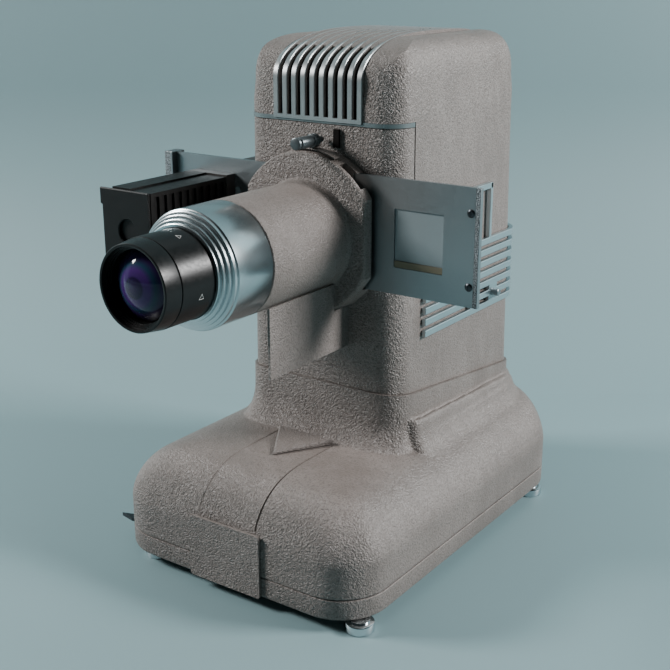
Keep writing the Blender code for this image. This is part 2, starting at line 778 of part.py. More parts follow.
head_flange = place(
    "head_flange",
    loft(
        [
            head_ring(HEAD_FRONT, -0.6),
            head_ring(HEAD_FRONT + 1.2, 0.4),
            head_ring(-6.0, 1.0),
            head_ring(HEAD_REAR, 1.8),
        ]
    ),
    "wrinkle_enamel",
    smooth=False,
)
chamfer_slit = box(-0.5, 24.5, -13.0, -7.4, -4.0, 12.0)
slit_turn = Matrix.Rotation(SLIT_TILT, 3, "Y")
bmesh.ops.rotate(chamfer_slit, verts=chamfer_slit.verts, cent=(0, 0, 0), matrix=slit_turn)
bmesh.ops.translate(chamfer_slit, verts=chamfer_slit.verts, vec=(29.5, 0.0, 309.5))
cut(
    head_flange,
    drill("light_bore", LIGHT_BORE, "y", LENS_AXIS, 30.0, 32),
    place("carrier_way", box(-80.0, 80.0, SLOT_FRONT, 6.0, CARRIER_BOTTOM - GAP, CARRIER_TOP + GAP)),
    place("grip_relief", box(36.4, 80.0, GRIP_RELIEF_FRONT, 6.0, CARRIER_BOTTOM - GAP, CARRIER_TOP + GAP)),
    place("chamfer_slit_form", chamfer_slit),
)

TUBE_FOOT = GAP - HEAD_FRONT
tube_profile = [(TUBE_RADIUS, -TUBE_FRONT), (TUBE_RADIUS, TUBE_FOOT + 5.0), (TUBE_RADIUS + 0.8, TUBE_FOOT)]
tube_profile += [(TUBE_BORE, TUBE_FOOT), (TUBE_BORE, -TUBE_FRONT)]


def forward(profile):
    """Profile given as (radius, distance in front of the tower), for a piece turned about the lens axis."""
    return [(radius, -distance) for radius, distance in reversed(profile)]


turned("lens_tube", forward(tube_profile), "y", LENS_AXIS, "smooth_enamel", 40, closed=True)
place("tube_side_plate", box(26.0, 28.0, -96.0, -0.3, 170.0, AXIS_Z - 33.2), "smooth_enamel")
cut(
    bpy.data.objects["tube_side_plate"],
    disc("tube_clearance", TUBE_RADIUS + 1.2, 130.0, -130.0, "y", LENS_AXIS, None, 48),
    place("head_clearance", prism(head_outline(2.2, 8), "y", HEAD_FRONT - GAP, 5.0)),
)

focus_profile = [(41.0, 143.6), (41.4, 142.8), (41.4, 107.5), (35.6, 107.5), (35.6, 98.0), (31.2, 98.0)]
focus_profile += [(31.2, 154.2), (33.2, 154.2), (33.2, 151.8), (35.6, 151.8), (35.6, 149.0), (37.8, 149.0)]
focus_profile += [(37.8, 146.2), (40.1, 146.2), (40.1, 143.6)]
turned("focus_ring", forward(focus_profile), "y", LENS_AXIS, "chrome", 36, closed=True)

barrel_profile = [(30.5, 184.6), (BARREL_RADIUS, 183.8), (BARREL_RADIUS, -BARREL_REAR), (22.6, -BARREL_REAR)]
barrel_profile += [(22.6, 70.0), (26.0, 76.0), (26.0, 184.6)]
turned("lens_barrel", forward(barrel_profile), "y", LENS_AXIS, "black_metal", 36, closed=True)

front_ring_profile = [(27.8, -RIM_FRONT), (28.9, -RIM_FRONT - 0.8), (30.5, 185.6), (30.5, 184.9)]
front_ring_profile += [(24.2, 184.9), (24.2, 192.0), (26.6, -RIM_FRONT)]
turned("lens_front_ring", forward(front_ring_profile), "y", LENS_AXIS, "black_metal", 36, closed=True)


def glass_profile(radius, middle, thickness, bulge, steps=5):
    """Biconvex lens as (radius, distance forward), from its front pole to its rear pole."""
    front = []
    rear = []
    for i in range(steps + 1):
        r = radius * i / steps
        sag = bulge * (1.0 - (r / radius) ** 2)
        front.append((r, middle + thickness / 2 + sag))
        rear.append((r, middle - thickness / 2 - sag))
    return front + rear[::-1]


turned("front_lens", forward(glass_profile(23.8, 188.0, 3.0, 2.6)), "y", LENS_AXIS, "coated_glass", 36)
turned("rear_lens", forward(glass_profile(22.2, 60.0, 4.0, 2.0)), "y", LENS_AXIS, "coated_glass", 32)

# ---- lock knob, blade and leaf above the head ------------------------------------------------------------
knob_profile = [(0.0, 35.5), (3.9, 35.5), (4.5, 34.9), (4.5, 32.6), (3.2, 32.2), (3.2, 31.2), (4.3, 30.8)]
knob_profile += [(4.3, 18.0), (3.6, 17.6), (3.6, 16.4), (5.0, 16.0), (5.0, 10.5), (2.4, 10.5)]
knob_profile += [(2.4, 3.4), (0.0, 3.4)]
turned("lock_knob", forward(knob_profile), "y", (KNOB_X, 0.0, KNOB_Z), "dark_steel", 24)
place("knob_stop_blade", box(15.8, 20.7, -2.4, -0.3, 320.6, 333.7), "black_metal")
leaf = arc(0.0, AXIS_Z, HEAD_RADIUS + 3.2, 100.0, 66.0, 8)
leaf += arc(0.0, AXIS_Z, HEAD_RADIUS + 2.4, 66.0, 100.0, 8)
place("leaf_spring", prism(leaf, "y", -16.0, -8.0), "dark_steel")

# ================================== slide carrier =======================================================
GRIP_RIGHT_INNER = CARRIER_RIGHT - 3.5
GRIP_LEFT_INNER = CARRIER_LEFT + 8.5
carrier_plate = place(
    "carrier_plate",
    box(
        GRIP_LEFT_INNER + GAP,
        GRIP_RIGHT_INNER - GAP,
        CARRIER_FRONT,
        CARRIER_BACK,
        CARRIER_BOTTOM,
        CARRIER_TOP,
    ),
    "satin_steel",
)
GLASS_HALF_WIDTH = WINDOW_HALF_WIDTH - GAP
STRIP_HEIGHT = 4.7


def pane(centre, half, front, back, low, high):
    return box(centre - half, centre + half, front, back, low, high)


windows = []
for label, centre in (("left", -WINDOW_PITCH), ("middle", 0.0), ("right", WINDOW_PITCH)):
    opening = pane(centre, WINDOW_HALF_WIDTH, -9.0, 2.0, WINDOW_BOTTOM - GAP, WINDOW_TOP + GAP)
    windows.append(place(f"window_form_{label}", opening))
    slide = pane(centre, GLASS_HALF_WIDTH, -3.8, -2.2, WINDOW_BOTTOM, WINDOW_TOP)
    place(f"slide_{label}", slide, "clear_glass")
    if label != "middle":
        strip = pane(centre, GLASS_HALF_WIDTH, -4.7, -4.1, WINDOW_BOTTOM, WINDOW_BOTTOM + STRIP_HEIGHT)
        place(f"slide_strip_{label}", strip, "ochre_card")
SCREW_SPOTS = {"carrier_screw_high": (132.9, 286.0), "carrier_screw_low": (132.9, 233.6)}
for name, (x, z) in SCREW_SPOTS.items():
    windows.append(drill(f"{name}_hole", 1.9, "y", (x, 0.0, z), 12.0, 16))
    screw_profile = [(0.0, 6.3), (1.9, 6.1), (3.0, 5.3), (1.6, 5.3), (1.6, 2.2), (0.0, 2.2)]
    screw = turned(name, forward(screw_profile), "y", (x, 0.0, z), "chrome", 20)
    cut(screw, place(f"{name}_slot", box(x - 0.4, x + 0.4, -8.0, -5.8, z - 4.0, z + 4.0)))
cut(carrier_plate, *windows)
grip_right = box(GRIP_RIGHT_INNER, CARRIER_RIGHT, -5.6, -1.6, CARRIER_BOTTOM, CARRIER_TOP)
grip_left = box(CARRIER_LEFT, GRIP_LEFT_INNER, -10.0, 4.5, CARRIER_BOTTOM, CARRIER_TOP + 0.6)
bevel(place("carrier_grip_right", grip_right, "dark_steel"), 0.6, 1)
bevel(place("carrier_grip_left", grip_left, "dark_steel"), 1.0, 1)

# ================================== magazine and guide ======================================================
MAG_UNDER = MAG_BOTTOM - 5.0
MAG_RIB_GAPS = 10
MAG_RIB_TOP = 288.0
RIB_GAP = 5.6
magazine_block = box(MAG_LEFT, MAG_RIGHT, MAG_FRONT + GAP, MAG_BACK, MAG_BOTTOM, MAG_TOP)
magazine = place("magazine_body", magazine_block, "black_plastic")
hollow_x = (MAG_LEFT + 2.5, MAG_RIGHT - 5.0)
hollow_y = (MAG_FRONT + 3.0, MAG_BACK - 2.5)
rib_tools = [
    place("magazine_step_form", box(-97.0, MAG_RIGHT + 5.0, -110.0, 0.0, MAG_TOP - 1.4, MAG_TOP + 5.0)),
    place("magazine_hollow", box(*hollow_x, *hollow_y, MAG_UNDER, MAG_TOP - 4.4)),
]
for i in range(MAG_RIB_GAPS):
    y = MAG_FRONT + 3.6 + MAG_PITCH * i
    rib_gap = box(MAG_RIGHT - 2.0, MAG_RIGHT + 5.0, y, y + RIB_GAP, MAG_UNDER, MAG_RIB_TOP)
    rib_tools.append(place(f"rib_form_{i}", rib_gap))
cut(magazine, *rib_tools)
front_plate = place(
    "magazine_front_plate",
    box(-126.0, -76.9, MAG_FRONT - 2.4, MAG_FRONT, MAG_BOTTOM, 291.6),
    "black_metal",
)
cut(
    front_plate,
    drill("sight_hole", 9.0, "y", (-99.2, MAG_FRONT, 261.0), 10.0, 24),
    place("plate_corner_form", box(-130.0, -124.2, -110.0, -90.0, 225.0, 279.0)),
)
bevel(front_plate, 0.7, 1)
slide_x = (MAG_LEFT + 3.0, MAG_RIGHT - 5.4)
slide_strip = box(*slide_x, MAG_FRONT + 6.0, MAG_BACK - 5.0, MAG_BOTTOM + 3.0, MAG_BOTTOM + 5.0)
magazine_slides = place("magazine_slides", slide_strip, "ochre_card")
STORED_SLIDES = 8
SLIDE_PITCH = 8.4
for i in range(STORED_SLIDES):
    y = MAG_FRONT + 10.0 + SLIDE_PITCH * i
    leaf_box = box(MAG_LEFT + 3.2, MAG_RIGHT - 5.6, y, y + 2.0, MAG_BOTTOM + 4.0, MAG_TOP - 6.0)
    join(magazine_slides, place(f"slide_leaf_form_{i}", leaf_box))

guide = place("magazine_guide", box(MAG_LEFT, -76.0, MAG_BACK + GAP, 72.0, 212.0, MAG_TOP), "black_plastic")
join(guide, place("guide_bracket_form", box(-80.0, -71.5, 26.0, 66.0, 246.0, 286.0)))
cut(
    guide,
    place("guide_way", box(-130.0, -60.0, SLOT_FRONT, CARRIER_BACK + GAP, CARRIER_BOTTOM - GAP, 320.0)),
    place("guide_hollow", box(MAG_LEFT + 3.0, -79.0, 3.0, 69.0, 205.0, MAG_TOP - 3.0)),
)

# ================================== lamp and light path =================================================
LAMP_Y = 95.0
bracket = place("lamp_bracket", box(-34.0, 34.0, 60.0, 154.0, 146.0, 149.0), "satin_steel")
join(
    bracket,
    place("bracket_post_left", box(-34.0, -31.0, 60.0, 130.0, 147.0, 186.0)),
    place("bracket_post_right", box(31.0, 34.0, 60.0, 154.0, 147.0, 196.0)),
    place("reflector_stand_form", box(-6.0, 6.0, 141.5, 144.0, 147.0, AXIS_Z - 6.0)),
)
cut(bracket, drill("pin_bearing_form", 2.6, "x", (32.5, PIN_Y, PIN_Z), 4.0, 20))
carriage = place("lamp_carriage", box(-30.4, 30.4, 70.0, 120.0, 156.0, 162.0), "aluminium")
join(carriage, place("carriage_fork_form", box(22.0, 30.4, 112.0, 150.0, 156.5, 161.5)))
cut(carriage, drill("carriage_bore", 12.0, "z", (0.0, LAMP_Y, 160.0), 20.0, 24))
socket_profile = [(0.0, 200.0), (14.5, 200.0), (14.5, 196.0), (12.5, 195.0), (12.5, 170.0), (16.0, 170.0)]
socket_profile += [(16.0, 162.3), (0.0, 162.3)]
turned("lamp_socket", socket_profile, "z", (0.0, LAMP_Y, 0.0), "ceramic", 28)
bulb_profile = [(0.0, 292.0), (7.0, 290.5), (12.5, 285.5), (15.5, 277.0), (16.0, 268.0), (16.0, 226.0)]
bulb_profile += [(14.0, 217.0), (11.5, 211.0), (11.5, 200.3), (0.0, 200.3)]
turned("lamp_bulb", bulb_profile, "z", (0.0, LAMP_Y, 0.0), "clear_glass", 28)

pin_profile = [(0.0, 82.4), (2.6, 82.4), (3.1, 81.9), (3.1, 72.0), (2.4, 72.0), (2.4, 30.0), (0.0, 30.0)]
turned("lamp_adjust_pin", pin_profile, "x", (0.0, PIN_Y, PIN_Z), "chrome", 24)

MIRROR_Y = 138.0


def mirror_profile(radius, depth, thick, steps=6):
    """Dished mirror as (radius, distance forward); the hollow side faces the lamp."""
    front = [(radius * i / steps, depth * (i / steps) ** 2) for i in range(steps + 1)]
    back = [(r, d - thick) for r, d in front]
    return front + back[::-1]


turned(
    "reflector",
    [(r, -d) for r, d in reversed(mirror_profile(30.0, 12.0, 2.0))],
    "y",
    (0.0, MIRROR_Y, AXIS_Z),
    "aluminium",
    36,
)

mount = place("condenser_mount", box(-36.0, 36.0, 12.0, 64.0, 214.0, 297.0), "black_metal")
bevel(mount, 2.0, 1)
join(mount, place("condenser_stand_form", box(-20.0, 20.0, 30.0, 36.0, 149.3, 220.0)))
cut(
    mount,
    drill("condenser_bore", 29.0, "y", (0.0, 38.0, AXIS_Z), 60.0, 32),
    place("filter_way", box(-31.0, 80.0, 38.2, 43.8, 224.0, 287.0)),
)
turned(
    "condenser_lens_front",
    forward(glass_profile(28.6, -24.0, 4.0, 5.0)),
    "y",
    LENS_AXIS,
    "clear_glass",
    32,
)
turned(
    "condenser_lens_rear",
    forward(glass_profile(28.6, -55.0, 3.0, 4.5)),
    "y",
    LENS_AXIS,
    "clear_glass",
    32,
)
place("heat_filter", box(-30.0, 33.0, 39.8, 42.2, 225.0, 286.0), "coated_glass")
aperture = place("aperture_plate", box(-40.0, 40.0, 6.0, 8.0, 222.0, 290.0), "black_metal")
cut(aperture, place("aperture_form", box(-18.0, 18.0, 0.0, 20.0, AXIS_Z - 18.0, AXIS_Z + 18.0)))
floor_outline = rounded(-69.0, 69.0, 4.0, 190.6, 16.0, 16.0, 4)
floor_sheet = loft([at_height(floor_outline, 106.0), at_height(floor_outline, 108.0)])
place("chamber_floor", floor_sheet, "satin_steel")
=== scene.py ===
"""Looks of the slide projector: finer castings, bright work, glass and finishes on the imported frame."""

import math

import bmesh
import bpy
from mathutils import Matrix, Vector


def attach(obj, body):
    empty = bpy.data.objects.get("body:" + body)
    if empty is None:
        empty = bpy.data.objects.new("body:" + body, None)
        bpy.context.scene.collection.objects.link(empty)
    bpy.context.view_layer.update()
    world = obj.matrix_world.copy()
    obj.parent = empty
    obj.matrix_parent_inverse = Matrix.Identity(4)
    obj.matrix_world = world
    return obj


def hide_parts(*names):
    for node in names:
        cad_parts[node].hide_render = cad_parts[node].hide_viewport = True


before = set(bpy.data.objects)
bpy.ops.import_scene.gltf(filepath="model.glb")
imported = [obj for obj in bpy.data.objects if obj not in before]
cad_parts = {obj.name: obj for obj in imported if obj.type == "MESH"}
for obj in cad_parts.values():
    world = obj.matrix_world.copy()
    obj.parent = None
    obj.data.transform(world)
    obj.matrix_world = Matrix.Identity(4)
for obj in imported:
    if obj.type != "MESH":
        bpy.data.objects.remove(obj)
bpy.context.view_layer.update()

MM = 0.001
SHIFT_X = 2.5
SHIFT_Y = -2.35
GAP = 0.3
AXIS_Z = 255.6
SHELL_WALL = 2.5
SHELL_REAR = 190.0
SHELL_LOW_Z = 135.0
SHELL_HIGH_Z = 332.0
PANEL_LOW = 219.0
PANEL_HIGH = 336.4
TRIM_TOP = 340.3
PIN_Y = 143.5
PIN_Z = 187.3
GRILLE_LOW = 175.4
GRILLE_PITCH = 9.08
GRILLE_BARS = 7


# ================================== mesh helpers ====================================================
def arc(centre_u, centre_v, radius, start, end, steps):
    spread = [math.radians(start + (end - start) * i / steps) for i in range(steps + 1)]
    return [(centre_u + radius * math.cos(a), centre_v + radius * math.sin(a)) for a in spread]


def rounded(x0, x1, y0, y1, front_radius, rear_radius, steps):
    """Rectangle with rounded corners and evenly cut sides, counterclockwise."""
    corners = (
        (x1, y0, front_radius, -90.0),
        (x1, y1, rear_radius, 0.0),
        (x0, y1, rear_radius, 90.0),
        (x0, y0, front_radius, 180.0),
    )
    points = []
    for x, y, radius, start in corners:
        centre_x = x - radius if x == x1 else x + radius
        centre_y = y + radius if y == y0 else y - radius
        points += arc(centre_x, centre_y, radius, start, start + 90.0, steps)
    return points


def at_height(points, z):
    return [(x, y, z) for x, y in points]


def loft(rings):
    bm = bmesh.new()
    levels = [[bm.verts.new(point) for point in ring] for ring in rings]
    count = len(rings[0])
    for lower, upper in zip(levels, levels[1:]):
        for i in range(count):
            j = (i + 1) % count
            bm.faces.new((lower[i], lower[j], upper[j], upper[i]))
    bm.faces.new(levels[0])
    bm.faces.new(levels[-1])
    return bm


CORNER = {
    "x": lambda u, v, w: (w, u, v),
    "y": lambda u, v, w: (u, w, v),
    "z": lambda u, v, w: (u, v, w),
}


def prism(outline, axis, low, high):
    corner = CORNER[axis]
    return loft([[corner(u, v, low) for u, v in outline], [corner(u, v, high) for u, v in outline]])


def box(x0, x1, y0, y1, z0, z1):
    bm = bmesh.new()
    bmesh.ops.create_cube(bm, size=1.0)
    bmesh.ops.scale(bm, verts=bm.verts, vec=(x1 - x0, y1 - y0, z1 - z0))
    bmesh.ops.translate(bm, verts=bm.verts, vec=((x0 + x1) / 2, (y0 + y1) / 2, (z0 + z1) / 2))
    return bm


def turn(profile, axis, origin, steps):
    """Closed profile of (radius, height) turned about an axis; heights run along +axis."""
    rings = []
    for i in range(steps):
        a = math.tau * i / steps
        ring = []
        for radius, height in profile:
            u, v = radius * math.cos(a), radius * math.sin(a)
            if axis == "z":
                ring.append((origin[0] + u, origin[1] + v, origin[2] + height))
            elif axis == "y":
                ring.append((origin[0] + u, origin[1] + height, origin[2] + v))
            else:
                ring.append((origin[0] + height, origin[1] + u, origin[2] + v))
        rings.append(ring)
    bm = bmesh.new()
    levels = [[bm.verts.new(point) for point in ring] for ring in rings]
    count = len(profile)
    for k in range(steps):
        here, after = levels[k], levels[(k + 1) % steps]
        for i in range(count):
            j = (i + 1) % count
            bm.faces.new((here[i], here[j], after[j], after[i]))
    bmesh.ops.remove_doubles(bm, verts=bm.verts, dist=1e-5)
    return bm


def forward(profile):
    """Profile given as (radius, distance in front of the tower)."""
    return [(radius, -distance) for radius, distance in profile]


def raw(name, bm):
    """Object from a bmesh in millimetres of the projector's own frame."""
    bmesh.ops.translate(bm, verts=bm.verts, vec=(SHIFT_X, SHIFT_Y, 0.0))
    bmesh.ops.scale(bm, verts=bm.verts, vec=(MM, MM, MM))
    bmesh.ops.recalc_face_normals(bm, faces=bm.faces)
    mesh = bpy.data.meshes.new(name)
    bm.to_mesh(mesh)
    bm.free()
    obj = bpy.data.objects.new(name, mesh)
    bpy.context.scene.collection.objects.link(obj)
    return obj


def gather(name, parts):
    """One object from several bmeshes."""
    whole = bmesh.new()
    for made in parts:
        bmesh.ops.recalc_face_normals(made, faces=made.faces)
        part = bpy.data.meshes.new("part")
        made.to_mesh(part)
        made.free()
        whole.from_mesh(part)
        bpy.data.meshes.remove(part)
    return raw(name, whole)


def settle(obj):
    """Turn an object's modifiers into its mesh."""
    graph = bpy.context.evaluated_depsgraph_get()
    graph.update()
    mesh = bpy.data.meshes.new_from_object(obj.evaluated_get(graph))
    obj.modifiers.clear()
    obj.data = mesh
    return obj


def boolean(obj, operation, tools):
    helpers = [raw("helper", tool) for tool in tools]
    for helper in helpers:
        step = obj.modifiers.new("boolean", "BOOLEAN")
        step.operation = operation
        step.solver = "EXACT"
        step.object = helper
    settle(obj)
    for helper in helpers:
        bpy.data.objects.remove(helper, do_unlink=True)
    return obj


def soften(obj, voxel, rounds):
    """Cast look: even mesh with softly blended inner corners."""
    remesh = obj.modifiers.new("remesh", "REMESH")
    remesh.mode = "VOXEL"
    remesh.voxel_size = voxel * MM
    smooth = obj.modifiers.new("smooth", "SMOOTH")
    smooth.factor = 0.5
    smooth.iterations = rounds
    return settle(obj)


def bevel(obj, width, segments=2, angle=35.0):
    step = obj.modifiers.new("bevel", "BEVEL")
    step.width = width * MM
    step.segments = segments
    step.limit_method = "ANGLE"
    step.angle_limit = math.radians(angle)
    step.harden_normals = False
    return obj


def finish_piece(obj, look, body, replaces=(), sharp=35.0):
    mesh = obj.data
    mesh.materials.clear()
    mesh.materials.append(look)
    mesh.shade_smooth()
    mesh.set_sharp_from_angle(angle=math.radians(sharp))
    if replaces:
        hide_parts(*replaces)
    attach(obj, body)
    return obj


# ================================== material helpers ================================================
def new_material(name, colour, roughness, metallic):
    look = bpy.data.materials.new(name)
    look.use_nodes = True
    shader = look.node_tree.nodes["Principled BSDF"]
    shader.inputs["Base Color"].default_value = (*colour, 1.0)
    shader.inputs["Roughness"].default_value = roughness
    shader.inputs["Metallic"].default_value = metallic
    return look, look.node_tree, shader


def node(tree, kind, **settings):
    made = tree.nodes.new(kind)
    for key, value in settings.items():
        if key in made.inputs:
            made.inputs[key].default_value = value
        else:
            setattr(made, key, value)
    return made


def coordinates(tree, scale=(1.0, 1.0, 1.0)):
    where = node(tree, "ShaderNodeTexCoord")
    mapping = node(tree, "ShaderNodeMapping")
    mapping.inputs["Scale"].default_value = scale
    tree.links.new(where.outputs["Object"], mapping.inputs["Vector"])
    return mapping.outputs["Vector"]


def noise(tree, vector, scale, detail=2.0, rough=0.5, distortion=0.0):
    settings = {"Scale": scale, "Detail": detail, "Roughness": rough, "Distortion": distortion}
    made = node(tree, "ShaderNodeTexNoise", **settings)
    tree.links.new(vector, made.inputs["Vector"])
    return made.outputs["Fac"]


def remap(tree, value, low, high, to_low, to_high):
    made = node(tree, "ShaderNodeMapRange")
    made.inputs["From Min"].default_value = low
    made.inputs["From Max"].default_value = high
    made.inputs["To Min"].default_value = to_low
    made.inputs["To Max"].default_value = to_high
    tree.links.new(value, made.inputs["Value"])
    return made.outputs["Result"]


def mix_colour(tree, factor, first, second):
    made = tree.nodes.new("ShaderNodeMix")
    made.data_type = "RGBA"
    made.clamp_factor = True
    tree.links.new(factor, made.inputs["Factor"])
    for socket, value in ((made.inputs["A"], first), (made.inputs["B"], second)):
        if isinstance(value, tuple):
            socket.default_value = (*value, 1.0)
        else:
            tree.links.new(value, socket)
    return made.outputs["Result"]


def math_node(tree, operation, first, second):
    made = tree.nodes.new("ShaderNodeMath")
    made.operation = operation
    for socket, value in ((made.inputs[0], first), (made.inputs[1], second)):
        if isinstance(value, (int, float)):
            socket.default_value = value
        else:
            tree.links.new(value, socket)
    return made.outputs[0]


def bump(tree, shader, height, strength, distance):
    made = tree.nodes.new("ShaderNodeBump")
    made.inputs["Distance"].default_value = distance
    if isinstance(strength, float):
        made.inputs["Strength"].default_value = strength
    else:
        tree.links.new(strength, made.inputs["Strength"])
    tree.links.new(height, made.inputs["Height"])
    tree.links.new(made.outputs["Normal"], shader.inputs["Normal"])


def enamel(name, dark, light, wrinkle, front_strength, side_strength, roughness):
    """Wrinkle enamel: leathery where it faces forward, smoother and cloudy on top and sides, with painted
    shade in the wrinkle valleys.
    """
    look, tree, shader = new_material(name, light, roughness, 0.0)
    plain = coordinates(tree)
    drawn = coordinates(tree, (1.0, 1.0, 0.22))
    cloud = noise(tree, plain, 14.0, 3.0, 0.55, 0.6)
    streak = noise(tree, drawn, 95.0, 3.0, 0.6, 0.8)
    worm = noise(tree, plain, wrinkle, 2.5, 0.5, 0.9)
    pebble = noise(tree, plain, wrinkle * 2.15, 1.5, 0.45, 0.45)
    grain = noise(tree, plain, wrinkle * 3.2, 2.0, 0.5)
    cloud_share = math_node(tree, "MULTIPLY", cloud, 0.6)
    streak_share = math_node(tree, "MULTIPLY", streak, 0.4)
    tint = math_node(tree, "ADD", cloud_share, streak_share)
    base = mix_colour(tree, remap(tree, tint, 0.38, 0.62, 0.0, 1.0), dark, light)
    ridge = math_node(tree, "ABSOLUTE", math_node(tree, "SUBTRACT", worm, 0.5), 0.0)
    # painted shade: the low spots of the pebble bump are darkened towards 0.82 of the dark colour
    valley_shade = remap(tree, pebble, 0.36, 0.50, 0.0, 1.0)
    shaded = mix_colour(tree, valley_shade, tuple(0.82 * c for c in dark), base)
    tree.links.new(shaded, shader.inputs["Base Color"])
    where = tree.nodes.new("ShaderNodeNewGeometry")
    face = tree.nodes.new("ShaderNodeVectorMath")
    face.operation = "DOT_PRODUCT"
    face.inputs[1].default_value = (0.0, -1.0, 0.0)
    tree.links.new(where.outputs["Normal"], face.inputs[0])
    strength = remap(tree, face.outputs["Value"], 0.25, 0.8, side_strength, front_strength)
    creases = math_node(tree, "MULTIPLY", remap(tree, ridge, 0.0, 0.12, 0.0, 1.0), 0.32)
    grained = math_node(tree, "ADD", pebble, math_node(tree, "MULTIPLY", grain, 0.2))
    height = math_node(tree, "ADD", creases, grained)
    bump(tree, shader, height, strength, 0.0022)
    rough = remap(tree, cloud, 0.3, 0.7, roughness - 0.05, roughness + 0.07)
    tree.links.new(rough, shader.inputs["Roughness"])
    shader.inputs["Specular IOR Level"].default_value = 0.6
    return look


def metal(name, dark, light, roughness, spread, grain=(1.0, 1.0, 1.0), scale=300.0, relief=0.05):
    look, tree, shader = new_material(name, light, roughness, 1.0)
    lines = noise(tree, coordinates(tree, grain), scale, 3.0, 0.6)
    patch = noise(tree, coordinates(tree), 22.0, 2.0)
    tree.links.new(mix_colour(tree, patch, dark, light), shader.inputs["Base Color"])
    rough = remap(tree, lines, 0.3, 0.7, max(0.02, roughness - spread), roughness + spread)
    tree.links.new(rough, shader.inputs["Roughness"])
    bump(tree, shader, lines, relief, 0.0003)
    return look


def rough_metal(name, dark, light, scale, relief, roughness, metallic):
    look, tree, shader = new_material(name, light, roughness, metallic)
    grains_and_hollow_shade = noise(tree, coordinates(tree), scale, 3.0, 0.7, 0.3)
    # painted shade: the colour follows the bump's own noise, so the hollows of knurl and winding turn dark,
    # on top of the grain tone
    colour = mix_colour(tree, remap(tree, grains_and_hollow_shade, 0.38, 0.62, 0.0, 1.0), dark, light)
    tree.links.new(colour, shader.inputs["Base Color"])
    bump(tree, shader, grains_and_hollow_shade, relief, 0.0012)
    return look


def dull(name, dark, light, roughness, scale=60.0, relief=0.12, metallic=0.0, specular=0.5):
    look, tree, shader = new_material(name, light, roughness, metallic)
    patch = noise(tree, coordinates(tree), scale, 3.0, 0.6)
    tree.links.new(mix_colour(tree, patch, dark, light), shader.inputs["Base Color"])
    rough = remap(tree, patch, 0.3, 0.7, roughness - 0.05, roughness + 0.07)
    tree.links.new(rough, shader.inputs["Roughness"])
    bump(tree, shader, noise(tree, coordinates(tree), scale * 9.0, 2.0), relief, 0.0004)
    shader.inputs["Specular IOR Level"].default_value = specular
    return look


def lens_glass(name):
    """Front element: near-black glass with the violet and teal rings of its coating's reflection painted
    into its colour, plus sharp real reflections.
    """
    look, tree, shader = new_material(name, (0.01, 0.01, 0.02), 0.03, 0.0)
    where = node(tree, "ShaderNodeTexCoord")
    mapping = node(tree, "ShaderNodeMapping")
    mapping.inputs["Location"].default_value = (-SHIFT_X * MM, 0.0, -AXIS_Z * MM)
    tree.links.new(where.outputs["Object"], mapping.inputs["Vector"])
    flat = tree.nodes.new("ShaderNodeVectorMath")
    flat.operation = "MULTIPLY"
    flat.inputs[1].default_value = (1.0, 0.0, 1.0)
    tree.links.new(mapping.outputs["Vector"], flat.inputs[0])
    length = tree.nodes.new("ShaderNodeVectorMath")
    length.operation = "LENGTH"
    tree.links.new(flat.outputs["Vector"], length.inputs[0])
    # painted reflection: the coating's violet and teal rings are painted into the base colour by distance
    # from the lens axis
    coating_reflection_ramp = tree.nodes.new("ShaderNodeValToRGB")
    tree.links.new(remap(tree, length.outputs["Value"], 0.0, 0.024, 0.0, 1.0), coating_reflection_ramp.inputs["Fac"])
    stops = coating_reflection_ramp.color_ramp
    stops.elements[0].position = 0.0
    stops.elements[0].color = (0.022, 0.009, 0.045, 1.0)
    stops.elements[1].position = 1.0
    stops.elements[1].color = (0.004, 0.003, 0.010, 1.0)
    for position, colour in (
        (0.28, (0.014, 0.009, 0.034, 1.0)),
        (0.34, (0.040, 0.018, 0.092, 1.0)),
        (0.50, (0.055, 0.020, 0.120, 1.0)),
        (0.64, (0.016, 0.045, 0.078, 1.0)),
        (0.78, (0.030, 0.012, 0.062, 1.0)),
    ):
        stop = stops.elements.new(position)
        stop.color = colour
    tree.links.new(coating_reflection_ramp.outputs["Color"], shader.inputs["Base Color"])
    shader.inputs["Coat Weight"].default_value = 0.35
    shader.inputs["Coat Roughness"].default_value = 0.10
    shader.inputs["IOR"].default_value = 1.30
    return look


# dark and light colour (the dark one also sets the painted shade in the wrinkle valleys), wrinkle scale,
# relief facing forward and sideways, roughness
ENAMELS = {
    "front_enamel": ((0.178, 0.150, 0.136), (0.232, 0.202, 0.186), 330.0, 0.80, 0.36, 0.43),
    "tube_enamel": ((0.178, 0.150, 0.136), (0.228, 0.198, 0.182), 430.0, 0.55, 0.40, 0.42),
    "plate_enamel": ((0.172, 0.146, 0.133), (0.215, 0.187, 0.173), 360.0, 0.7, 0.5, 0.47),
}
# dark and light colour, roughness and its spread, grain direction, grain scale, relief
METALS = {
    "chrome": ((0.55, 0.62, 0.65), (0.72, 0.77, 0.79), 0.14, 0.04),
    "collar_chrome": ((0.53, 0.59, 0.61), (0.56, 0.62, 0.64), 0.25, 0.01, (1.0, 30.0, 1.0), 160.0, 0.003),
    "satin": ((0.27, 0.31, 0.325), (0.32, 0.355, 0.37), 0.40, 0.05, (1.0, 1.0, 1.0), 500.0, 0.12),
    "grille": ((0.46, 0.54, 0.565), (0.56, 0.64, 0.665), 0.34, 0.05, (1.0, 1.0, 8.0), 300.0, 0.08),
    "dark_steel": ((0.045, 0.050, 0.055), (0.085, 0.092, 0.10), 0.34, 0.08, (1.0, 9.0, 1.0), 300.0),
    "aluminium": ((0.50, 0.51, 0.52), (0.62, 0.63, 0.64), 0.30, 0.08),
    "brass": ((0.42, 0.30, 0.12), (0.60, 0.45, 0.20), 0.30, 0.08),
    "core": ((0.07, 0.07, 0.075), (0.13, 0.13, 0.135), 0.55, 0.1, (12.0, 1.0, 1.0), 400.0, 0.3),
}
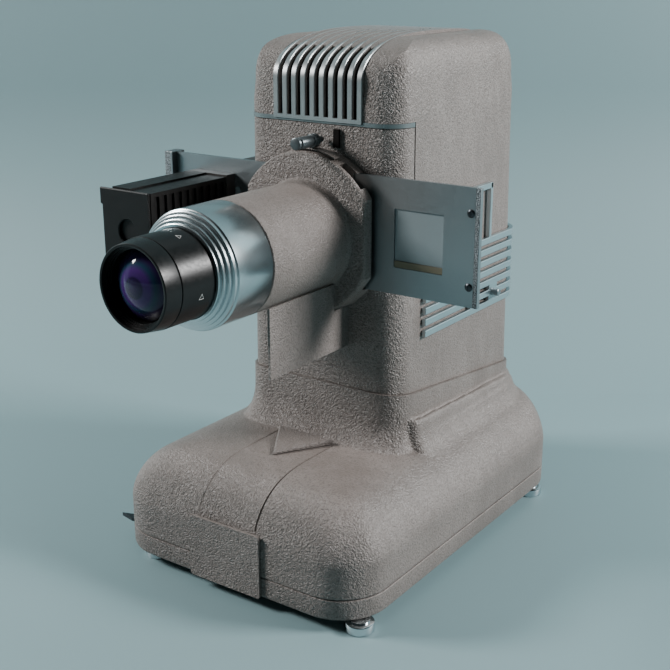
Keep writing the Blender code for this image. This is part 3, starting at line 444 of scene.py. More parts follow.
# dark and light colour (the dark one lies in the grain hollows as painted shade), grain scale, relief,
# roughness, metallic share
ROUGH_METALS = {
    "knurl": ((0.010, 0.012, 0.014), (0.36, 0.40, 0.42), 1150.0, 1.0, 0.36, 0.85),
    "winding": ((0.30, 0.11, 0.05), (0.60, 0.26, 0.12), 260.0, 0.6, 0.4, 0.8),
}
# dark and light colour, roughness, patch scale, relief, metallic share, specular level
DULLS = {
    "bar_metal": ((0.40, 0.425, 0.43), (0.46, 0.485, 0.49), 0.30, 26.0, 0.02, 0.78),
    "trim_metal": ((0.26, 0.285, 0.29), (0.33, 0.355, 0.36), 0.30, 26.0, 0.02, 0.85),
    "knob_steel": ((0.075, 0.088, 0.093), (0.12, 0.14, 0.147), 0.34, 60.0, 0.05, 0.6),
    "barrel_black": ((0.003, 0.003, 0.003), (0.005, 0.005, 0.005), 0.33, 420.0, 0.04, 0.0, 0.32),
    "magazine_black": ((0.004, 0.004, 0.004), (0.008, 0.008, 0.008), 0.45, 220.0, 0.10, 0.0, 0.25),
    "guide_black": ((0.016, 0.014, 0.013), (0.032, 0.028, 0.026), 0.40, 70.0, 0.10),
    "matt_black": ((0.004, 0.003, 0.003), (0.008, 0.007, 0.006), 0.80, 60.0, 0.2, 0.0, 0.10),
    "pane": ((0.20, 0.25, 0.265), (0.25, 0.295, 0.31), 0.14, 9.0, 0.02),
    "ochre": ((0.17, 0.15, 0.10), (0.22, 0.195, 0.135), 0.75, 160.0, 0.3),
    "card": ((0.42, 0.36, 0.25), (0.52, 0.46, 0.33), 0.80, 120.0, 0.3),
    "ceramic": ((0.60, 0.57, 0.50), (0.72, 0.69, 0.62), 0.45, 40.0, 0.1),
    "mark_white": ((0.50, 0.50, 0.49), (0.62, 0.62, 0.60), 0.5, 200.0, 0.1),
    "inlet_black": ((0.010, 0.010, 0.010), (0.022, 0.021, 0.020), 0.5, 90.0, 0.2),
}
LOOKS = {name: enamel(name, *values) for name, values in ENAMELS.items()}
LOOKS.update({name: metal(name, *values) for name, values in METALS.items()})
LOOKS.update({name: rough_metal(name, *values) for name, values in ROUGH_METALS.items()})
LOOKS.update({name: dull(name, *values) for name, values in DULLS.items()})
LOOKS["lens_glass"] = lens_glass("lens_glass")
clear, clear_tree, clear_shader = new_material("clear_glass", (0.90, 0.95, 0.96), 0.05, 0.0)
clear_shader.inputs["Transmission Weight"].default_value = 0.9
bump(clear_tree, clear_shader, noise(clear_tree, coordinates(clear_tree), 40.0), 0.03, 0.0003)
LOOKS["clear_glass"] = clear

CAD_LOOKS = {
    "carrier_plate": "satin",
    "lamp_bracket": "satin",
    "chamber_floor": "satin",
    "tube_side_plate": "plate_enamel",
    "leaf_spring": "plate_enamel",
    "knob_stop_blade": "matt_black",
    "condenser_mount": "matt_black",
    "aperture_plate": "matt_black",
    "magazine_body": "magazine_black",
    "magazine_front_plate": "magazine_black",
    "magazine_guide": "guide_black",
    "magazine_slides": "card",
    "power_inlet": "inlet_black",
    "slide_left": "pane",
    "slide_middle": "pane",
    "slide_right": "pane",
    "slide_strip_left": "ochre",
    "slide_strip_right": "ochre",
    "lamp_bulb": "clear_glass",
    "condenser_lens_front": "clear_glass",
    "condenser_lens_rear": "clear_glass",
    # the rear lens also takes the painted coating reflection
    "rear_lens": "lens_glass",
    "heat_filter": "clear_glass",
    "lamp_carriage": "aluminium",
    "reflector": "chrome",
    "transformer_winding": "winding",
    "transformer_core": "core",
    "lamp_socket": "ceramic",
    "switch_pivot": "brass",
    "switch_lever": "dark_steel",
    "front_cover_plate": "front_enamel",
    "lamp_adjust_pin": "satin",
    "carrier_screw_high": "dark_steel",
    "carrier_screw_low": "dark_steel",
}
for name, look in CAD_LOOKS.items():
    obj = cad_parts[name]
    obj.data.materials.clear()
    obj.data.materials.append(LOOKS[look])
for name, width in (
    ("carrier_plate", 0.35),
    ("magazine_body", 0.45),
    ("magazine_guide", 0.6),
    ("front_cover_plate", 0.5),
    ("tube_side_plate", 0.4),
    ("switch_lever", 0.5),
):
    bevel(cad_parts[name], width, 2, 30.0)

# ================================== base casting ====================================================
BASE_HALF_WIDTH = 116.0
BASE_FRONT = -118.0
BASE_REAR = 203.0
BASE_SEAM = 25.6


def base_ring(inset, z, wall=0.0, steps=14):
    edge = BASE_HALF_WIDTH - inset - wall
    front_radius = max(39.0 - 0.75 * inset - wall, 4.0)
    rear_radius = max(36.0 - 0.75 * inset - wall, 4.0)
    front = BASE_FRONT + inset + wall
    rear = BASE_REAR - 0.25 * inset - wall
    outline = rounded(-edge, edge, front, rear, front_radius, rear_radius, steps)
    return at_height(outline, z)


def base_section(angle):
    side = math.cos(angle) ** (2.0 / 3.2)
    rise = math.sin(angle) ** (2.0 / 1.6)
    return 72.0 * (1.0 - side), 50.0 + 42.6 * rise


def base_body(steps, wall, low, corner_steps):
    rings = [base_ring(0.0, low, wall, corner_steps)]
    for i in range(steps + 1):
        inset, z = base_section(0.485 * math.pi * i / steps)
        rings.append(base_ring(inset, z - wall, wall, corner_steps))
    return loft(rings)


def pedestal_ring(z, grow):
    edge = 75.0 + 0.3 * grow
    radius = 24.0 + 0.45 * grow
    return at_height(rounded(-edge, edge, -2.5 - grow, 197.0 + 0.15 * grow, radius, radius, 14), z)


def pedestal_body():
    rings = [pedestal_ring(86.0, 13.0)]
    for i in range(13):
        share = i / 12
        rings.append(pedestal_ring(92.0 + 22.0 * share, 13.0 * (1.0 - share) ** 2.4))
    rings.append(pedestal_ring(142.0, -0.6))
    return loft(rings)


def seam_z(y):
    return 135.6 - 0.1136 * (y - 3.0)


def shoulder_body(side):
    def section(y, narrow):
        drop = 0.1136 * 0.45 * (y - 18.0)
        profile = [(60.0, 76.0), (97.0, 76.0), (92.5, 84.7), (88.5, 88.9), (85.4, 93.0), (83.2, 98.6)]
        profile += [(82.0, 103.0 - 0.5 * drop), (81.4, 107.0 - 0.8 * drop), (80.6, 110.8 - drop)]
        profile += [(79.4, 112.8 - drop), (78.2, 113.4 - drop), (77.2, 112.6 - drop), (76.4, 109.5 - drop)]
        profile += [(75.6, 106.5 - drop), (60.0, 106.0 - drop)]
        return [(side * (x - narrow * (x > 60.0)), y, z) for x, z in profile]

    stations = ((14.6, 8.5), (15.2, 5.5), (16.4, 3.2), (18.6, 1.4), (22.0, 0.3), (26.0, 0.0), (165.0, 0.0))
    stations += ((180.0, 2.5), (191.0, 9.0))
    return loft([section(y, narrow) for y, narrow in stations])


def beyond_seam(lift, far):
    outline = [(-60.0, seam_z(-60.0) + lift), (240.0, seam_z(240.0) + lift), (240.0, far), (-60.0, far)]
    return prism(outline, "x", -130.0, 130.0)


def groove_form(side):
    centre = side * 26.5
    depth = 1.3 if side > 0 else 0.25
    low = []
    for i in range(17):
        inset, z = base_section(math.radians(20.0 + 66.0 * i / 16))
        low.append((BASE_FRONT + inset + 0.6 * depth, z - depth))
    low.append((-19.0, low[-1][1]))
    outline = low + [(-19.0, 110.0), (-135.0, 110.0), (-135.0, low[0][1])]
    return prism(outline, "x", centre - 0.75, centre + 0.75)


casting = raw("base_casting", base_body(22, 0.0, BASE_SEAM, 14))
boolean(casting, "UNION", [pedestal_body(), shoulder_body(-1.0), shoulder_body(1.0)])
soften(casting, 1.25, 3)
hollow = rounded(-69.5, 69.5, 3.2, 191.0, 17.0, 17.0, 6)
boolean(
    casting,
    "DIFFERENCE",
    [
        box(-150.0, 150.0, -150.0, 250.0, 0.0, BASE_SEAM),
        loft([at_height(hollow, 90.0), at_height(hollow, 160.0)]),
        base_body(5, 3.4, BASE_SEAM - 5.0, 5),
        beyond_seam(0.0, 400.0),
        groove_form(1.0),
        groove_form(-1.0),
        box(-76.3, -43.7, 190.0, 215.0, 33.7, 58.3),
    ],
)
finish_piece(casting, LOOKS["front_enamel"], "root", ["base_housing"], 40.0)

tray_edge = ((2.5, 9.0), (0.8, 9.9), (0.0, 12.0), (0.0, 24.8), (0.5, 25.3))
tray = raw("base_tray", loft([base_ring(inset, z) for inset, z in tray_edge]))
boolean(
    tray,
    "DIFFERENCE",
    [
        loft([base_ring(0.0, 12.2, 3.2, 6), base_ring(0.0, 40.0, 3.2, 6)]),
        box(-125.0, -104.0, -94.5, -77.5, 13.7, 18.3),
    ],
)
finish_piece(tray, LOOKS["front_enamel"], "root", ["base_plate"], 40.0)


def wedge_ring(shrink, back_z, tip_z):
    half = 26.5 - 1.6 * shrink
    back = -17.2 - shrink
    return [(-half, back, back_z), (0.0, -60.0 + 1.8 * shrink, tip_z), (half, back, back_z)]


wedge_levels = ((0.0, 93.0, 92.9), (0.0, 96.4, 94.2), (1.6, 97.6, 95.0))
wedge = raw("wedge", loft([wedge_ring(*level) for level in wedge_levels]))
finish_piece(bevel(wedge, 0.5, 2), LOOKS["plate_enamel"], "root", ["index_wedge"], 30.0)

FEET_X = {"left": -85.5, "right": 106.5}
FEET_Y = {"front": -99.0, "rear": 171.0}
foot_profile = [(0.0, 8.8), (7.6, 8.8), (7.4, 8.0), (7.4, 7.6), (9.6, 7.3), (10.5, 6.9), (10.84, 6.2)]
foot_profile += [(10.84, 1.2), (10.6, 0.4), (9.8, 0.0), (0.0, 0.0)]
for end, y in FEET_Y.items():
    for side, x in FEET_X.items():
        foot = raw(f"foot_{end}_{side}_turned", turn(foot_profile, "z", (x, y, 0.0), 72))
        finish_piece(foot, LOOKS["chrome"], "root", [f"foot_{end}_{side}"], 40.0)


# ================================== lamp house ======================================================
def shell_half_width(z):
    return 72.3 - 2.1 * (z - SHELL_LOW_Z) / (SHELL_HIGH_Z - SHELL_LOW_Z)


def shell_ring(z, inset, wall, steps=16):
    edge = shell_half_width(min(z, SHELL_HIGH_Z)) - inset - wall
    lean = max(0.0, SHELL_HIGH_Z - z) / (SHELL_HIGH_Z - SHELL_LOW_Z)
    rear = SHELL_REAR + 3.6 * lean - inset - wall
    radius = max(21.0 - wall - 0.1 * inset, 6.0)
    return at_height(rounded(-edge, edge, 1.15 * inset + wall, rear, radius, radius, steps), z)


def shell_body(steps):
    """Lamp house with its roof rounded off along a superellipse."""
    rings = [shell_ring(z, 0.0, 0.0) for z in (100.0, SHELL_LOW_Z, SHELL_HIGH_Z, 350.0)]
    roof_low, roof_high, roof_inset = 364.0, 397.4, 20.0
    power = 2.0 / 2.5
    for i in range(steps + 1):
        angle = 0.5 * math.pi * i / steps
        z = roof_low + (roof_high - roof_low) * math.sin(angle) ** power
        rings.append(shell_ring(z, 1.0 + roof_inset * (1.0 - math.cos(angle) ** power), 0.0))
    return loft(rings)


def lid_profile(lift, steps):
    reach = 100.2 + lift
    rise = 32.0 + lift
    points = []
    for i in range(steps + 1):
        angle = 0.5 * math.pi * i / steps
        points.append((100.0 - reach * math.cos(angle) ** (2.0 / 2.9), 368.0 + rise * math.sin(angle)))
    tail = [(120.0, 399.8), (140.0, 399.2), (152.0, 398.3), (162.0, 396.6)]
    tail += [(170.0, 394.2), (176.0, 390.6), (179.2, 386.4)]
    return points + [(y + 0.3 * lift, z + lift) for y, z in tail]


def lid_outline(lift, bottom_drop, steps):
    outline = [(-0.2 - lift, 338.6 - bottom_drop)] + lid_profile(lift, steps)
    outline += [(180.0 + lift, 382.0), (180.0 + lift, 374.0 - bottom_drop)]
    outline += [(21.0 + lift, 374.0 - bottom_drop), (21.0 + lift, 338.6 - bottom_drop)]
    return outline


def cheek_hollow(side):
    """Room in the roof beside the lid, under the bend."""
    outline = lid_profile(-6.5, 8)
    outline += [(outline[-1][0], 360.0), (outline[0][0], 360.0)]
    low, high = sorted((side * 43.4, side * 58.0))
    return prism(outline, "x", low, high)


def roof_bend():
    """All that stands above the front bend of the roof."""
    outline = [(-30.0, 368.0)] + lid_profile(0.15, 30)[:31]
    return prism(outline + [(100.0, 430.0), (-30.0, 430.0)], "x", -90.0, 90.0)


shell = raw("lamp_house", shell_body(14))
lid_opening = [(-10.0, 337.6), (21.4, 337.6), (21.4, 352.0)]
lid_opening += [(180.35, 352.0), (180.35, 430.0), (-10.0, 430.0)]
vents = []
for i in range(GRILLE_BARS):
    slot_low = GRILLE_LOW + GRILLE_PITCH * i + 1.2
    vents.append(box(-90.0, 90.0, 52.0, 124.0, slot_low, slot_low + 2.9))
boolean(
    shell,
    "DIFFERENCE",
    [
        roof_bend(),
        loft([shell_ring(z, 0.0, SHELL_WALL, 8) for z in (100.0, SHELL_LOW_Z, SHELL_HIGH_Z, 364.0)]),
        cheek_hollow(-1.0),
        cheek_hollow(1.0),
        beyond_seam(GAP, 40.0),
        box(-90.0, 90.0, -20.0, 23.6, PANEL_LOW - GAP, TRIM_TOP),
        prism(lid_opening, "x", -40.35, 40.35),
        turn([(0.0, -12.0), (3.8, -12.0), (3.8, 12.0), (0.0, 12.0)], "x", (70.0, PIN_Y, PIN_Z), 24),
        box(60.0, 90.0, 129.6, 137.6, 189.9, 193.4),
        box(60.0, 90.0, 129.6, 137.6, 180.9, 184.3),
    ]
    + vents,
)
finish_piece(shell, LOOKS["front_enamel"], "root", ["lamp_house_shell"], 30.0)

panel = raw("door_panel", loft([shell_ring(PANEL_LOW, 0.0, 0.0), shell_ring(PANEL_HIGH, 0.0, 0.0)]))
boolean(
    panel,
    "DIFFERENCE",
    [
        loft([shell_ring(190.0, 0.0, SHELL_WALL), shell_ring(360.0, 0.0, SHELL_WALL)]),
        box(-90.0, 90.0, 22.0, 230.0, 190.0, 360.0),
        turn([(0.0, -20.0), (33.0, -20.0), (33.0, 20.0), (0.0, 20.0)], "y", (0.0, 0.0, AXIS_Z), 64),
    ],
)
finish_piece(panel, LOOKS["front_enamel"], "root", ["front_panel"], 30.0)

trim_levels = ((336.7, -0.05), (337.0, -0.35), (339.9, -0.35), (340.2, -0.05))
trim = raw("trim_band", loft([shell_ring(z, inset, 0.0) for z, inset in trim_levels]))
boolean(
    trim,
    "DIFFERENCE",
    [
        loft([shell_ring(320.0, 0.0, SHELL_WALL), shell_ring(360.0, 0.0, SHELL_WALL)]),
        box(-90.0, 90.0, 22.0, 230.0, 320.0, 360.0),
        box(-40.4, 40.4, -20.0, 30.0, 338.2, 360.0),
    ],
)
finish_piece(trim, LOOKS["trim_metal"], "root", ["trim_strip"], 40.0)

# ---- vent lid with bright bars -------------------------------------------------------------------------
SLOTS = 9
PITCH = 8.35
SLOT_WIDTH = 4.2
lid = raw("vent_hood", prism(lid_outline(0.0, 0.0, 30), "x", -40.0, 40.0))
lid_tools = [prism(lid_outline(-2.4, 60.0, 12), "x", -37.6, 37.6)]
for i in range(SLOTS):
    x = (i - (SLOTS - 1) / 2) * PITCH
    lid_tools.append(box(x - SLOT_WIDTH / 2, x + SLOT_WIDTH / 2, -12.0, 22.0, 341.6, 412.0))
boolean(lid, "DIFFERENCE", lid_tools)
finish_piece(bevel(lid, 0.5, 2, 50.0), LOOKS["plate_enamel"], "lid", ["vent_lid"], 35.0)


def rib(x, wide, narrow, start, stop):
    """Bright bar that follows the hood from its foot over the top and thins out to the rear."""
    outer = lid_profile(1.35, 40)[start:stop]
    inner = lid_profile(-0.25, 40)[start:stop]
    outer = [(-0.2 - 1.35, 338.6)] + outer
    inner = [(-0.2 + 0.25, 338.6)] + inner
    count = len(outer)
    rings = []
    for k, ((y_out, z_out), (y_in, z_in)) in enumerate(zip(outer, inner)):
        share = min(1.0, max(0.0, (y_out - 6.0) / 26.0))
        half = 0.5 * (wide + (narrow - wide) * share)
        sink = 1.25 * share + (0.7 if k == count - 1 else 0.0)
        y_top = y_out + (y_in - y_out) * sink * 0.5
        z_top = z_out + (z_in - z_out) * sink * 0.5
        shoulder_y = y_top + (y_in - y_top) * 0.3
        shoulder_z = z_top + (z_in - z_top) * 0.3
        rings.append(
            [
                (x - half, y_in, z_in),
                (x + half, y_in, z_in),
                (x + half, shoulder_y, shoulder_z),
                (x + half - 0.3, y_top, z_top),
                (x - half + 0.3, y_top, z_top),
                (x - half, shoulder_y, shoulder_z),
            ]
        )
    return loft(rings)


bars = [rib((i - SLOTS / 2) * PITCH, PITCH - SLOT_WIDTH, 1.0, 0, 46) for i in range(SLOTS + 1)]
bars.append(box(-39.6, 39.6, -1.5, 0.05, 338.65, 341.6))
finish_piece(gather("vent_ribs", bars), LOOKS["bar_metal"], "lid", ["vent_bars"], 50.0)

# painted shade: a matt black sheet inside the hood behind the slots, so the slots read dark
shade_sheet_outer = [(5.0, 341.0)] + [(y + 6.0, z - 6.0) for y, z in lid_profile(0.0, 12)[:9]]
shade_sheet_inner = [(y + 1.0, z - 1.0) for y, z in shade_sheet_outer]
shade_sheet = raw("vent_shade_sheet", prism(shade_sheet_outer + shade_sheet_inner[::-1], "x", -37.0, 37.0))
finish_piece(shade_sheet, LOOKS["matt_black"], "lid", (), 40.0)


# ---- side grilles --------------------------------------------------------------------------------------
def grille_path(offset):
    half = shell_half_width(205.0)
    corner = arc(half - 21.0, 192.2 - 21.0, 21.0 + offset, 0.0, 90.0, 18)
    return [(half + offset, 35.0), (half + offset, 37.0)] + corner + [(46.0, 192.2 + offset)]


def grille_bar(side, z, height):
    near = GAP + 0.2 + max(0.0, shell_half_width(z) - shell_half_width(205.0))
    far = 4.3
    soft = 0.45
    section = [(near, z), (far - soft, z), (far, z + soft)]
    section += [(far, z + height - soft), (far - soft, z + height), (near, z + height)]
    paths = {offset: grille_path(offset) for offset, _ in section}
    rings = []
    for station in range(len(grille_path(0.0))):
        ring = []
        for offset, height_z in section:
            x, y = paths[offset][station]
            ring.append((side * x, y, height_z))
        rings.append(ring)
    return loft(rings)


for label, side in (("right", 1.0), ("left", -1.0)):
    parts = [grille_bar(side, GRILLE_LOW + GRILLE_PITCH * i, 5.3) for i in range(GRILLE_BARS)]
    webs = (
        (138.0, 151.6, 181.0, 195.0),
        (137.9, 153.0, 177.0, 187.0),
        (106.0, 118.0, 177.0, 232.0),
        (134.4, 137.7, 231.0, 280.4),
        (96.0, 99.3, 231.0, 280.4),
        (96.05, 137.65, 275.7, 280.35),
    )
    for y0, y1, z0, z1 in webs:
        low, high = sorted((side * (shell_half_width(z0) + 0.5), side * (shell_half_width(205.0) + 4.25)))
        parts.append(box(low, high, y0, y1, z0, z1))
    grille = gather(f"grille_{label}", parts)
    bevel(grille, 0.3, 2, 50.0)
    finish_piece(grille, LOOKS["grille"], "root", [f"side_grille_{label}"], 40.0)


# ================================== head, tube and lens =============================================
def head_outline(grow, steps=72):
    radius = 62.2 + grow
    side = 53.4 + grow
    low = 203.0 - grow
    start = math.degrees(math.acos(side / radius))
    points = arc(0.0, AXIS_Z, radius, start, 180.0 - start, steps)
    foot = [(-side, low + 27.0), (-side + 9.3, low + 14.5), (-side + 22.0, low + 2.6), (-side + 30.0, low)]
    return points + foot + [(-x, z) for x, z in reversed(foot)]


def head_ring(y, grow):
    return [(x, y, z) for x, z in head_outline(grow)]


flange_edge = ((-18.1, -1.6), (-17.7, -0.7), (-16.9, 0.0), (-15.6, 0.4))
flange_edge += ((-6.0, 1.0), (-1.4, 1.8), (-0.35, 1.4))
flange = raw("head_casting", loft([head_ring(y, grow) for y, grow in flange_edge]))
slit = box(-0.5, 24.0, -15.0, -6.8, -4.0, 12.0)
bmesh.ops.rotate(slit, verts=slit.verts, cent=(0, 0, 0), matrix=Matrix.Rotation(math.radians(37.7), 3, "Y"))
bmesh.ops.translate(slit, verts=slit.verts, vec=(29.5, 0.0, 309.5))
boolean(
    flange,
    "DIFFERENCE",
    [
        turn([(0.0, -30.0), (33.0, -30.0), (33.0, 30.0), (0.0, 30.0)], "y", (0.0, 0.0, AXIS_Z), 72),
        box(-80.0, 80.0, -5.3, 6.0, 218.7, 304.3),
        box(36.4, 80.0, -8.9, 6.0, 218.7, 304.3),
        slit,
    ],
)
finish_piece(flange, LOOKS["front_enamel"], "root", ["head_flange"], 28.0)

tube_profile = [(41.0, 106.3), (41.4, 105.9), (41.4, 26.0), (41.7, 22.0), (42.6, 19.4)]
tube_profile += [(43.6, 18.3), (36.0, 18.3), (36.0, 106.3)]
tube = raw("tube_casting", turn(forward(tube_profile), "y", (0.0, 0.0, AXIS_Z), 160))
finish_piece(tube, LOOKS["tube_enamel"], "root", ["lens_tube"], 40.0)

collar_profile = [(40.6, 143.6), (41.0, 143.4), (41.4, 142.9), (41.4, 108.2), (41.0, 107.5), (35.6, 107.5)]
collar_profile += [(35.6, 98.0), (31.2, 98.0), (31.2, 154.2), (32.9, 154.2), (33.3, 153.9), (33.4, 151.9)]
collar_profile += [(35.2, 151.8), (35.7, 151.5), (35.8, 149.1), (37.5, 149.0), (38.0, 148.7)]
collar_profile += [(38.1, 146.4), (39.7, 146.2), (40.2, 145.9), (40.3, 143.7)]
collar = raw("focus_collar_turned", turn(forward(collar_profile), "y", (0.0, 0.0, AXIS_Z), 160))
finish_piece(collar, LOOKS["collar_chrome"], "focus_collar", ["focus_ring"], 30.0)

barrel_profile = [(30.0, 184.6), (30.5, 184.4), (30.7, 183.8), (30.7, 52.0)]
barrel_profile += [(22.6, 52.0), (22.6, 70.0), (26.0, 76.0), (26.0, 184.6)]
barrel = raw("barrel_turned", turn(forward(barrel_profile), "y", (0.0, 0.0, AXIS_Z), 160))
finish_piece(barrel, LOOKS["barrel_black"], "lens", ["lens_barrel"], 30.0)


def barrel_mark(name, along, around, size, turned_by):
    """Thin raised outline of a triangle on the barrel."""
    radius = 30.78
    corners = [math.radians(90.0 * k * 4.0 / 3.0 + turned_by) for k in range(3)]
    shape = [(size * math.cos(a), size * math.sin(a)) for a in corners]
    points = []
    for (u0, v0), (u1, v1) in zip(shape, shape[1:] + shape[:1]):
        for k in range(8):
            share = k / 8
            u = along + u0 + (u1 - u0) * share
            angle = math.radians(around) + (v0 + (v1 - v0) * share) / radius
            points.append((radius * math.sin(angle), -u, AXIS_Z + radius * math.cos(angle)))
    curve = bpy.data.curves.new(name, "CURVE")
    curve.dimensions = "3D"
    curve.bevel_depth = 0.16 * MM
    curve.bevel_resolution = 2
    spline = curve.splines.new("POLY")
    spline.points.add(len(points) - 1)
    for spot, (x, y, z) in zip(spline.points, points):
        spot.co = ((x + SHIFT_X) * MM, (y + SHIFT_Y) * MM, z * MM, 1.0)
    spline.use_cyclic_u = True
    outline = bpy.data.objects.new(name, curve)
    bpy.context.scene.collection.objects.link(outline)
    graph = bpy.context.evaluated_depsgraph_get()
    mesh = bpy.data.meshes.new_from_object(outline.evaluated_get(graph))
    bpy.data.objects.remove(outline, do_unlink=True)
    mark = bpy.data.objects.new(name, mesh)
    bpy.context.scene.collection.objects.link(mark)
    return mark


rim_profile = [(27.9, 198.3), (28.5, 198.2), (28.9, 197.7), (30.4, 186.0), (30.3, 185.2), (30.0, 184.9)]
rim_profile += [(24.2, 184.9), (24.2, 191.6), (25.0, 191.6), (25.0, 193.2), (25.8, 193.2)]
rim_profile += [(25.8, 194.8), (26.6, 194.8), (26.8, 197.9)]
rim = raw("rim_turned", turn(forward(rim_profile), "y", (0.0, 0.0, AXIS_Z), 160))
finish_piece(rim, LOOKS["barrel_black"], "lens", ["lens_front_ring"], 30.0)
high_mark = barrel_mark("barrel_mark_high", 165.5, 21.0, 2.2, 180.0)
finish_piece(high_mark, LOOKS["mark_white"], "lens", (), 60.0)
side_mark = barrel_mark("barrel_mark_side", 167.0, 105.0, 2.5, 270.0)
finish_piece(side_mark, LOOKS["mark_white"], "lens", (), 60.0)

GLASS_RADIUS = 23.9
GLASS_BULGE = 10.0
glass_profile = []
for i in range(17):
    share = i / 16
    glass_profile.append((GLASS_RADIUS * share, 187.2 + GLASS_BULGE * (1.0 - share**2)))
glass_profile += [(GLASS_RADIUS, 186.4), (0.0, 184.0)]
element = raw("front_element", turn(forward(glass_profile), "y", (0.0, 0.0, AXIS_Z), 96))
finish_piece(element, LOOKS["lens_glass"], "lens", ["front_lens"], 30.0)

knob_profile = [(0.0, 35.5), (3.7, 35.5), (4.3, 35.2), (4.6, 34.6), (4.6, 33.0), (4.2, 32.5), (3.3, 32.3)]
knob_profile += [(3.3, 31.3), (4.2, 31.0), (4.4, 30.6), (4.4, 18.0), (3.9, 17.7), (3.9, 16.6), (4.9, 16.3)]
knob_profile += [(5.0, 15.8), (5.0, 13.6), (4.6, 13.4), (4.6, 12.9), (5.0, 12.7), (5.0, 10.6), (2.4, 10.5)]
knob_profile += [(2.4, 3.4), (0.0, 3.4)]
knob = raw("knob_turned", turn(forward(knob_profile), "y", (5.8, 0.0, 326.0), 64))
finish_piece(knob, LOOKS["knob_steel"], "knob", ["lock_knob"], 35.0)


# ================================== carrier grips ===================================================
def milled_grip(side, knurled, smooth):
    """Grip with a knurled outer part and a plain polished part."""
    replaced = f"carrier_grip_{side}"
    first = raw(f"grip_{side}_knurled", box(*knurled))
    # the knurl look carries painted shade in its grain hollows
    finish_piece(bevel(first, 0.35, 2), LOOKS["knurl"], "slide_carrier", [replaced], 35.0)
    second = raw(f"grip_{side}_plain", box(*smooth))
    finish_piece(bevel(second, 0.5, 2), LOOKS["satin"], "slide_carrier", (), 35.0)


milled_grip(
    "right",
    (136.5, 139.6, -5.6, -1.9, 219.0, 304.0),
    (139.4, 140.0, -5.4, -1.6, 219.0, 304.0),
)
milled_grip(
    "left",
    (-145.0, -138.6, -10.0, 4.5, 219.0, 304.6),
    (-138.8, -136.5, -10.2, 4.5, 219.0, 304.7),
)

# ================================== studio ==========================================================
FLOOR_DARK = (0.185, 0.285, 0.305)
FLOOR_LIGHT = (0.20, 0.30, 0.32)
floor_look, floor_tree, floor_shader = new_material("floor", FLOOR_LIGHT, 0.6, 0.0)
floor_noise = noise(floor_tree, coordinates(floor_tree), 3.0, 2.0)
floor_colour = mix_colour(floor_tree, floor_noise, FLOOR_DARK, FLOOR_LIGHT)
floor_tree.links.new(floor_colour, floor_shader.inputs["Base Color"])
# painted glow: the floor emits its dark colour more and more from 1.2 m to 3.6 m out, so it fades into the
# background with no lamp there
away = floor_tree.nodes.new("ShaderNodeVectorMath")
away.operation = "LENGTH"
floor_tree.links.new(node(floor_tree, "ShaderNodeTexCoord").outputs["Object"], away.inputs[0])
floor_shader.inputs["Emission Color"].default_value = (*FLOOR_DARK, 1.0)
painted_far_glow = remap(floor_tree, away.outputs["Value"], 1.2, 3.6, 0.0, 1.0)
floor_tree.links.new(painted_far_glow, floor_shader.inputs["Emission Strength"])

# the wall copies the floor, painted glow by distance included
wall_look = floor_look.copy()
wall_look.name = "wall"
wall_tree = wall_look.node_tree
wall_shader = next(n for n in wall_tree.nodes if n.type == "BSDF_PRINCIPLED")
wall_output = next(n for n in wall_tree.nodes if n.type == "OUTPUT_MATERIAL")
side = wall_tree.nodes.new("ShaderNodeNewGeometry")
clear = wall_tree.nodes.new("ShaderNodeBsdfTransparent")
one_sided = wall_tree.nodes.new("ShaderNodeMixShader")
wall_tree.links.new(side.outputs["Backfacing"], one_sided.inputs[0])
wall_tree.links.new(wall_shader.outputs[0], one_sided.inputs[1])
wall_tree.links.new(clear.outputs[0], one_sided.inputs[2])
wall_tree.links.new(one_sided.outputs[0], wall_output.inputs["Surface"])

WALL = 0.62
BEND = 0.30
WALL_HEIGHT = 5.0
WALL_HALF = 6.0
FLOOR_HALF = 14.0
STEP_DOWN = 0.0005


def backdrop(name, rings, look):
    """Sheet through rows of points that belongs to the studio."""
    bm = bmesh.new()
    rows = [[bm.verts.new(point) for point in ring] for ring in rings]
    for low, high in zip(rows, rows[1:]):
        bm.faces.new((low[0], low[1], high[1], high[0]))
    mesh = bpy.data.meshes.new(name)
    bm.to_mesh(mesh)
    bm.free()
    mesh.materials.append(look)
    mesh.shade_smooth()
    sheet = bpy.data.objects.new(name, mesh)
    bpy.context.scene.collection.objects.link(sheet)
    return sheet


def studio_rows(profile, half):
    """Rows across the studio for each (distance behind the object, height)."""
    turned = Matrix.Rotation(math.radians(35.0), 4, "Z")
    return [[turned @ Vector((x, y, z)) for x in (-half, half)] for y, z in profile]


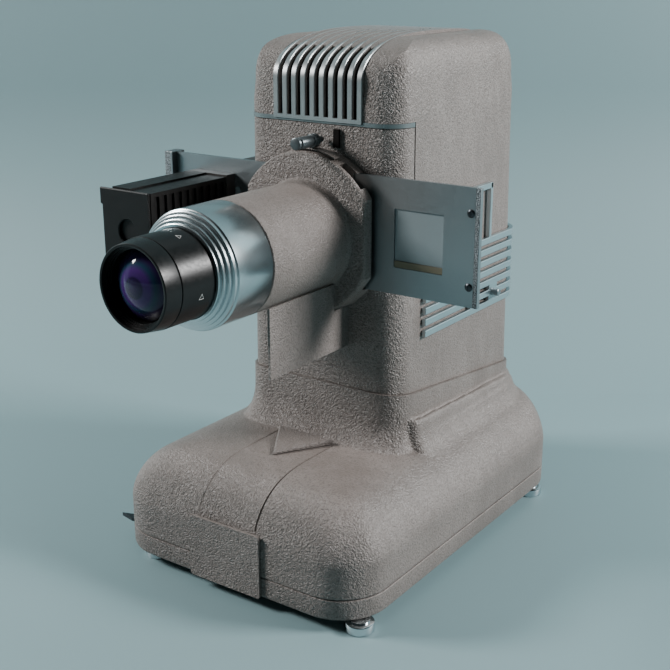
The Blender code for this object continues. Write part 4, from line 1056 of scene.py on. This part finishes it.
bend = [(WALL - BEND, 0.0)]
for k in range(1, 17):
    a = 0.5 * math.pi * k / 16
    bend.append((WALL - BEND + BEND * math.sin(a), BEND - BEND * math.cos(a)))
bend.append((WALL, WALL_HEIGHT))
backdrop("studio_wall", studio_rows(bend, WALL_HALF), wall_look)
backdrop("studio_floor", studio_rows([(-FLOOR_HALF, 0.0), (WALL - BEND, 0.0)], FLOOR_HALF), floor_look)
behind = [(WALL - BEND, -STEP_DOWN), (FLOOR_HALF, -STEP_DOWN)]
backdrop("studio_floor_behind", studio_rows(behind, FLOOR_HALF), floor_look)

LIGHTS = (
    ("left_key", (-1.50, -0.85, 1.15), 50.0, 0.45, (1.0, 0.99, 0.98)),
    ("right_key", (1.45, 0.70, 1.05), 50.0, 0.50, (1.0, 1.0, 1.0)),
    ("top_soft", (-0.1, 0.1, 1.8), 4.0, 1.2, (0.96, 1.0, 1.0)),
)
for name, place, power, size, colour in LIGHTS:
    data = bpy.data.lights.new(name, "AREA")
    data.energy = power
    data.size = size
    data.color = colour
    lamp = bpy.data.objects.new(name, data)
    lamp.location = place
    lamp.rotation_euler = (Vector((0.0, 0.0, 0.2)) - Vector(place)).to_track_quat("-Z", "Y").to_euler()
    bpy.context.scene.collection.objects.link(lamp)

world = bpy.data.worlds.new("studio")
bpy.context.scene.world = world
world.use_nodes = True
world_tree = world.node_tree
fill = world_tree.nodes["Background"]
fill.inputs["Color"].default_value = (0.50, 0.62, 0.65, 1.0)
fill.inputs["Strength"].default_value = 0.05
seen = world_tree.nodes.new("ShaderNodeBackground")
seen.inputs["Color"].default_value = (*FLOOR_DARK, 1.0)
seen.inputs["Strength"].default_value = 1.0
rays = world_tree.nodes.new("ShaderNodeLightPath")
world_mix = world_tree.nodes.new("ShaderNodeMixShader")
world_tree.links.new(rays.outputs["Is Camera Ray"], world_mix.inputs[0])
world_tree.links.new(fill.outputs[0], world_mix.inputs[1])
world_tree.links.new(seen.outputs[0], world_mix.inputs[2])
world_tree.links.new(world_mix.outputs[0], world_tree.nodes["World Output"].inputs["Surface"])

camera_data = bpy.data.cameras.new("camera")
camera_data.sensor_width = 36.0
camera_data.lens = 61.90
camera = bpy.data.objects.new("camera", camera_data)
camera.location = (0.50305, -0.69442, 0.450)
camera.rotation_euler = (math.radians(72.02), 0.0, math.radians(35.01))
bpy.context.scene.collection.objects.link(camera)
bpy.context.scene.camera = camera
